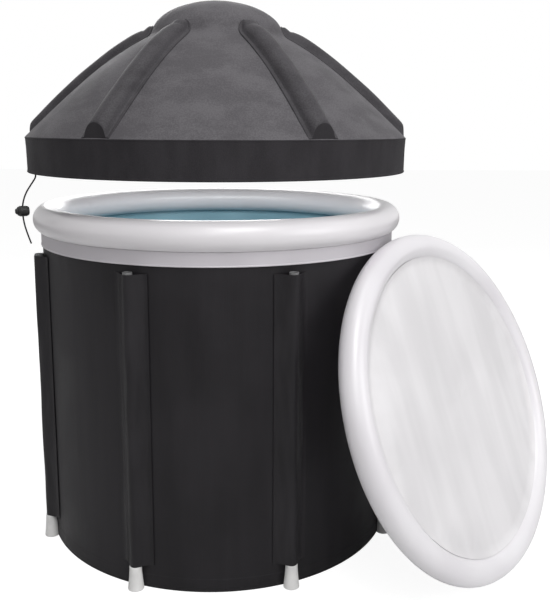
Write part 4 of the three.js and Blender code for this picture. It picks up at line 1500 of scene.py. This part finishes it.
@dataclass
class Cover:
    """The dome cover: panel, crown, ribs and hem."""

    hem_bottom: float = 0.8226
    hem_top: float = 0.8976
    hem_radii: Place = (0.4186, 0.4244, 0.4254)
    hem_cloth: float = 0.001
    hem_lip: float = 0.0007
    hem_rounding: float = 0.0016
    hem_step: float = 0.006
    hem_pulls: Ripple = Ripple(71, 0.00015, (40, 110), (0.0, 6.0), 14)
    hem_slack: Ripple = Ripple(72, 0.0002, (4, 14), (0.0, 4.0))
    casing_top: float = 0.0140
    casing_side: float = 0.008
    panel_bottom: float = 0.8979
    bow: Pair = (0.262, 0.168)
    panel_rise: float = 0.221
    crown_radius: float = 0.150
    crown_rise: float = 0.076
    crown_gap: float = 0.0004
    blend_reach: float = 0.036
    blend_width: float = 0.36
    skin: float = 0.0026
    skin_slack: Ripple = Ripple(61, 0.0004, (3, 12), (1.0, 5.0), 10)
    skin_pulls: Ripple = Ripple(62, 0.00015, (20, 48), (2.0, 9.0), 14)
    skin_length: float = 0.5
    skin_fades: Place = (0.12, 0.97, 0.2)
    rib_count: int = 6
    first_rib: float = 30.0
    rib_half: float = 0.0255
    rib_height: float = 0.0220
    rib_end_radius: float = 0.4240
    rib_top_radius: float = 0.143
    nose_radius: float = 0.190
    seam_half: float = 0.0335
    seam_strip: float = 0.0009
    rib_rows: int = 84
    rib_slack: Ripple = Ripple(80, 0.0003, (1, 4), (3.0, 12.0), 10)
    # Offsets of the thin dark sheet on each rib's cut end, which is painted shade.
    shade_patch: Pair = (0.0004, 0.0005)
    sides: int = 360

    def build(self) -> None:
        """Makes the cover's pieces."""
        self.dome()
        self.hem()
        for rib in range(1, self.rib_count + 1):
            self.rib(rib)

    def outline(self) -> np.ndarray:
        """Draws the dome's outside, with a soft hollow where the crown rises from the panel.

        Returns:
            Points of radius and height.
        """
        start = np.array((self.hem_radii[2], self.panel_bottom))
        bow = np.array((self.bow[0], self.panel_bottom + self.bow[1]))
        end = np.array((self.crown_radius, self.panel_bottom + self.panel_rise))
        t = np.linspace(0, 1, 120)[:, None]
        panel = (1 - t) ** 2 * start + 2 * t * (1 - t) * bow + t**2 * end
        turn = np.linspace(0, math.pi / 2, 60)
        base = self.panel_bottom + self.panel_rise + self.crown_gap
        crown = np.stack([self.crown_radius * np.cos(turn), base + self.crown_rise * np.sin(turn)], axis=1)
        line = np.vstack([panel, crown[1:]])
        length = lengths(line)
        even = np.linspace(0, length[-1], 190)
        line = np.stack([np.interp(even, length, line[:, k]) for k in (0, 1)], axis=1)
        joint = length[len(panel) - 1]
        weight = share(1 - ((even - joint) / self.blend_reach) ** 2)[:, None]
        spread = np.exp(-(((even[:, None] - even[None, :]) / (self.blend_width * self.blend_reach)) ** 2))
        spread /= spread.sum(axis=1, keepdims=True)
        soft = line * (1 - weight) + (spread @ line) * weight
        soft[-1, 0] = 0.0
        return soft

    def dome(self) -> None:
        """Makes the panel and the crown as one skin of cloth."""
        outside = self.outline()
        normals = profile_normals(outside)
        inside = (outside - normals * self.skin)[::4]
        inside[0, 1] = outside[0, 1]
        inside[:, 0] = np.maximum(inside[:, 0], 0.0)
        inside = np.vstack([inside, [[0.0, outside[-1, 1] - self.skin]]])
        profile = np.vstack([outside, inside[::-1]])
        # The cloth dips between its seams; the hem's edge and the crown's top stay true.
        azimuth, step = around(self.sides), np.arange(len(profile))[:, None]
        done = share(step / len(outside))
        along = done * self.skin_length
        grow, end, shrink = self.skin_fades
        fade = share(done / grow) * share((end - done) / shrink) * (step < len(outside))
        dips = (self.skin_slack.dip(azimuth, along) + self.skin_pulls.dip(azimuth, along)) * fade
        way = np.vstack([normals, np.zeros_like(inside)])
        piece = Piece("dome_skin", Body.COVER, DOME_CLOTH, ["cover_panel", "cover_crown"])
        piece.build(turned(profile, self.sides, True, dips, way))

    def hem(self) -> None:
        """Makes the hem: an upright band with a folded casing at its lower edge."""
        inner, low, high = self.hem_radii
        cloth, bottom, top = self.hem_cloth, self.hem_bottom, self.hem_top
        fold, lip = low - cloth - 0.0003, high + self.hem_lip
        side, casing = bottom + self.casing_side, bottom + self.casing_top
        profile = divided(rounded([
            (inner + 0.0002, bottom + 0.0004), (low, bottom), (low + 0.0002, bottom + 0.016),
            (high, top - 0.0035), (lip, top - 0.0020), (lip, top - 0.0003),
            (high - cloth, top), (low - cloth, bottom + cloth), (inner + cloth, bottom + cloth),
            (inner + cloth, side), (fold, casing), (fold - cloth, casing), (inner, side),
        ], self.hem_rounding, 3), self.hem_step)
        # Small upright pulls grow towards the casing.
        azimuth, height = around(self.sides), profile[:, 1:] - bottom
        shown = (profile[:, :1] > low - 0.0002) & (height > 0.003)
        fade = share((top - profile[:, 1:] - 0.004) / 0.02) * shown
        waves = self.hem_pulls.dip(azimuth, height) * share(1.2 - height / 0.075)
        waves = waves + self.hem_slack.dip(azimuth, height)
        cloth_band = turned(profile, self.sides, True, waves * fade)
        Piece("hem_band", Body.COVER, HEM_CLOTH, ["cover_hem"]).build(cloth_band)

    def rib_line(self) -> np.ndarray:
        """Draws a rib's upper line: two seam strips and a full round.

        Returns:
            Points as distance across and height.
        """
        turn = np.radians(np.linspace(16, 164, 15))
        seam, half, strip = self.seam_half, self.rib_half, self.seam_strip
        left = [
            (-seam - 0.0004, -0.0012), (-seam, strip * 0.6), (-seam + 0.001, strip),
            (-half - 0.0042, strip), (-half - 0.0016, strip + 0.0007), (-half - 0.0001, strip + 0.0030),
        ]
        arch = [(-half * math.cos(t), self.rib_height * math.sin(t)) for t in turn]
        right = [(-across, up) for across, up in reversed(left)]
        return smooth_line(np.array(left + arch + right), 3)

    def rib_sections(self, slack: Ripple) -> np.ndarray:
        """Lays a rib's line along the dome, from its cut end above the hem to its nose on the crown.

        Args:
            slack: Waves of its cloth.

        Returns:
            Rows of points at the front, one section each.
        """
        line, path = self.rib_line(), self.outline()
        normal = profile_normals(path)
        kept = path[:, 0] >= self.rib_top_radius
        path, normal = path[kept], normal[kept]
        length = lengths(path)
        whole = length[-1]
        nose_start = np.interp(-self.nose_radius, -path[:, 0], length)
        # The first three rows round the cut end off.
        rows = np.concatenate([[0.0, 0.004, 0.012], np.linspace(0.03, 1.0, self.rib_rows)])
        inset = np.concatenate([[0.93, 0.975, 0.994], np.ones(self.rib_rows)])
        sections = []
        for step, shrink in zip(rows, inset):
            past = max(step * whole - nose_start, 0.0) / (whole - nose_start)
            nose = math.sqrt(max(1 - past**2, 0.0))
            up = np.where(line[:, 1] > 0.001, line[:, 1] * shrink * nose, line[:, 1])
            waves = slack.at(line[:, 0] / self.seam_half * 1.5, np.full(len(line), step * 0.35))
            up = up + waves * (up > 0.003)
            across = line[:, 0] * (0.4 + 0.6 * nose) * (0.5 + 0.5 * shrink)
            start = np.array([
                np.interp(-self.rib_end_radius, -(path[:, 0] + h * normal[:, 0]), length) for h in up
            ])
            at = start + (whole - start) * step
            radius, height = (
                np.interp(at, length, path[:, k]) + up * np.interp(at, length, normal[:, k]) for k in (0, 1)
            )
            turn = across / radius
            sections.append(np.stack([radius * np.sin(turn), -radius * np.cos(turn), height], axis=1))
        return np.array(sections)

    def rib(self, rib: int) -> None:
        """Makes one padded rib and a thin dark sheet of hem cloth on its cut end, which is painted shade.

        Args:
            rib: The rib's number.
        """
        sections = self.rib_sections(replace(self.rib_slack, seed=self.rib_slack.seed + rib))
        there = spoke(self.first_rib + 360 * (rib - 1) / self.rib_count)
        # The pad wears the darker copy of the dome cloth, which is painted shade.
        pad = Piece(f"rib_pad_{rib}", Body.COVER, RIB_CLOTH_PAINTED_SHADE, [f"cover_rib_{rib}"], at=there)
        pad.build(swept(sections))
        # A thin sheet of the darker hem cloth over the rib's cut end: painted shade.
        behind, ahead = self.shade_patch
        shade_patch = np.array([sections[0] + np.array((0, behind, 0)), sections[0] - np.array((0, ahead, 0))])
        Piece(f"rib_end_{rib}", Body.COVER, HEM_CLOTH, at=there).build(swept(shade_patch))


def main() -> None:
    """Builds the studio and every sub-assembly."""
    logging.basicConfig(level=logging.INFO, format="%(message)s")
    for assembly in (Studio(), Drawstring(), Shell(), Ring(), Legs(), Drain(), Lid(), Cover()):
        LOG.info("building %s", type(assembly).__name__)
        assembly.build()


if __name__ == "__main__":
    main()
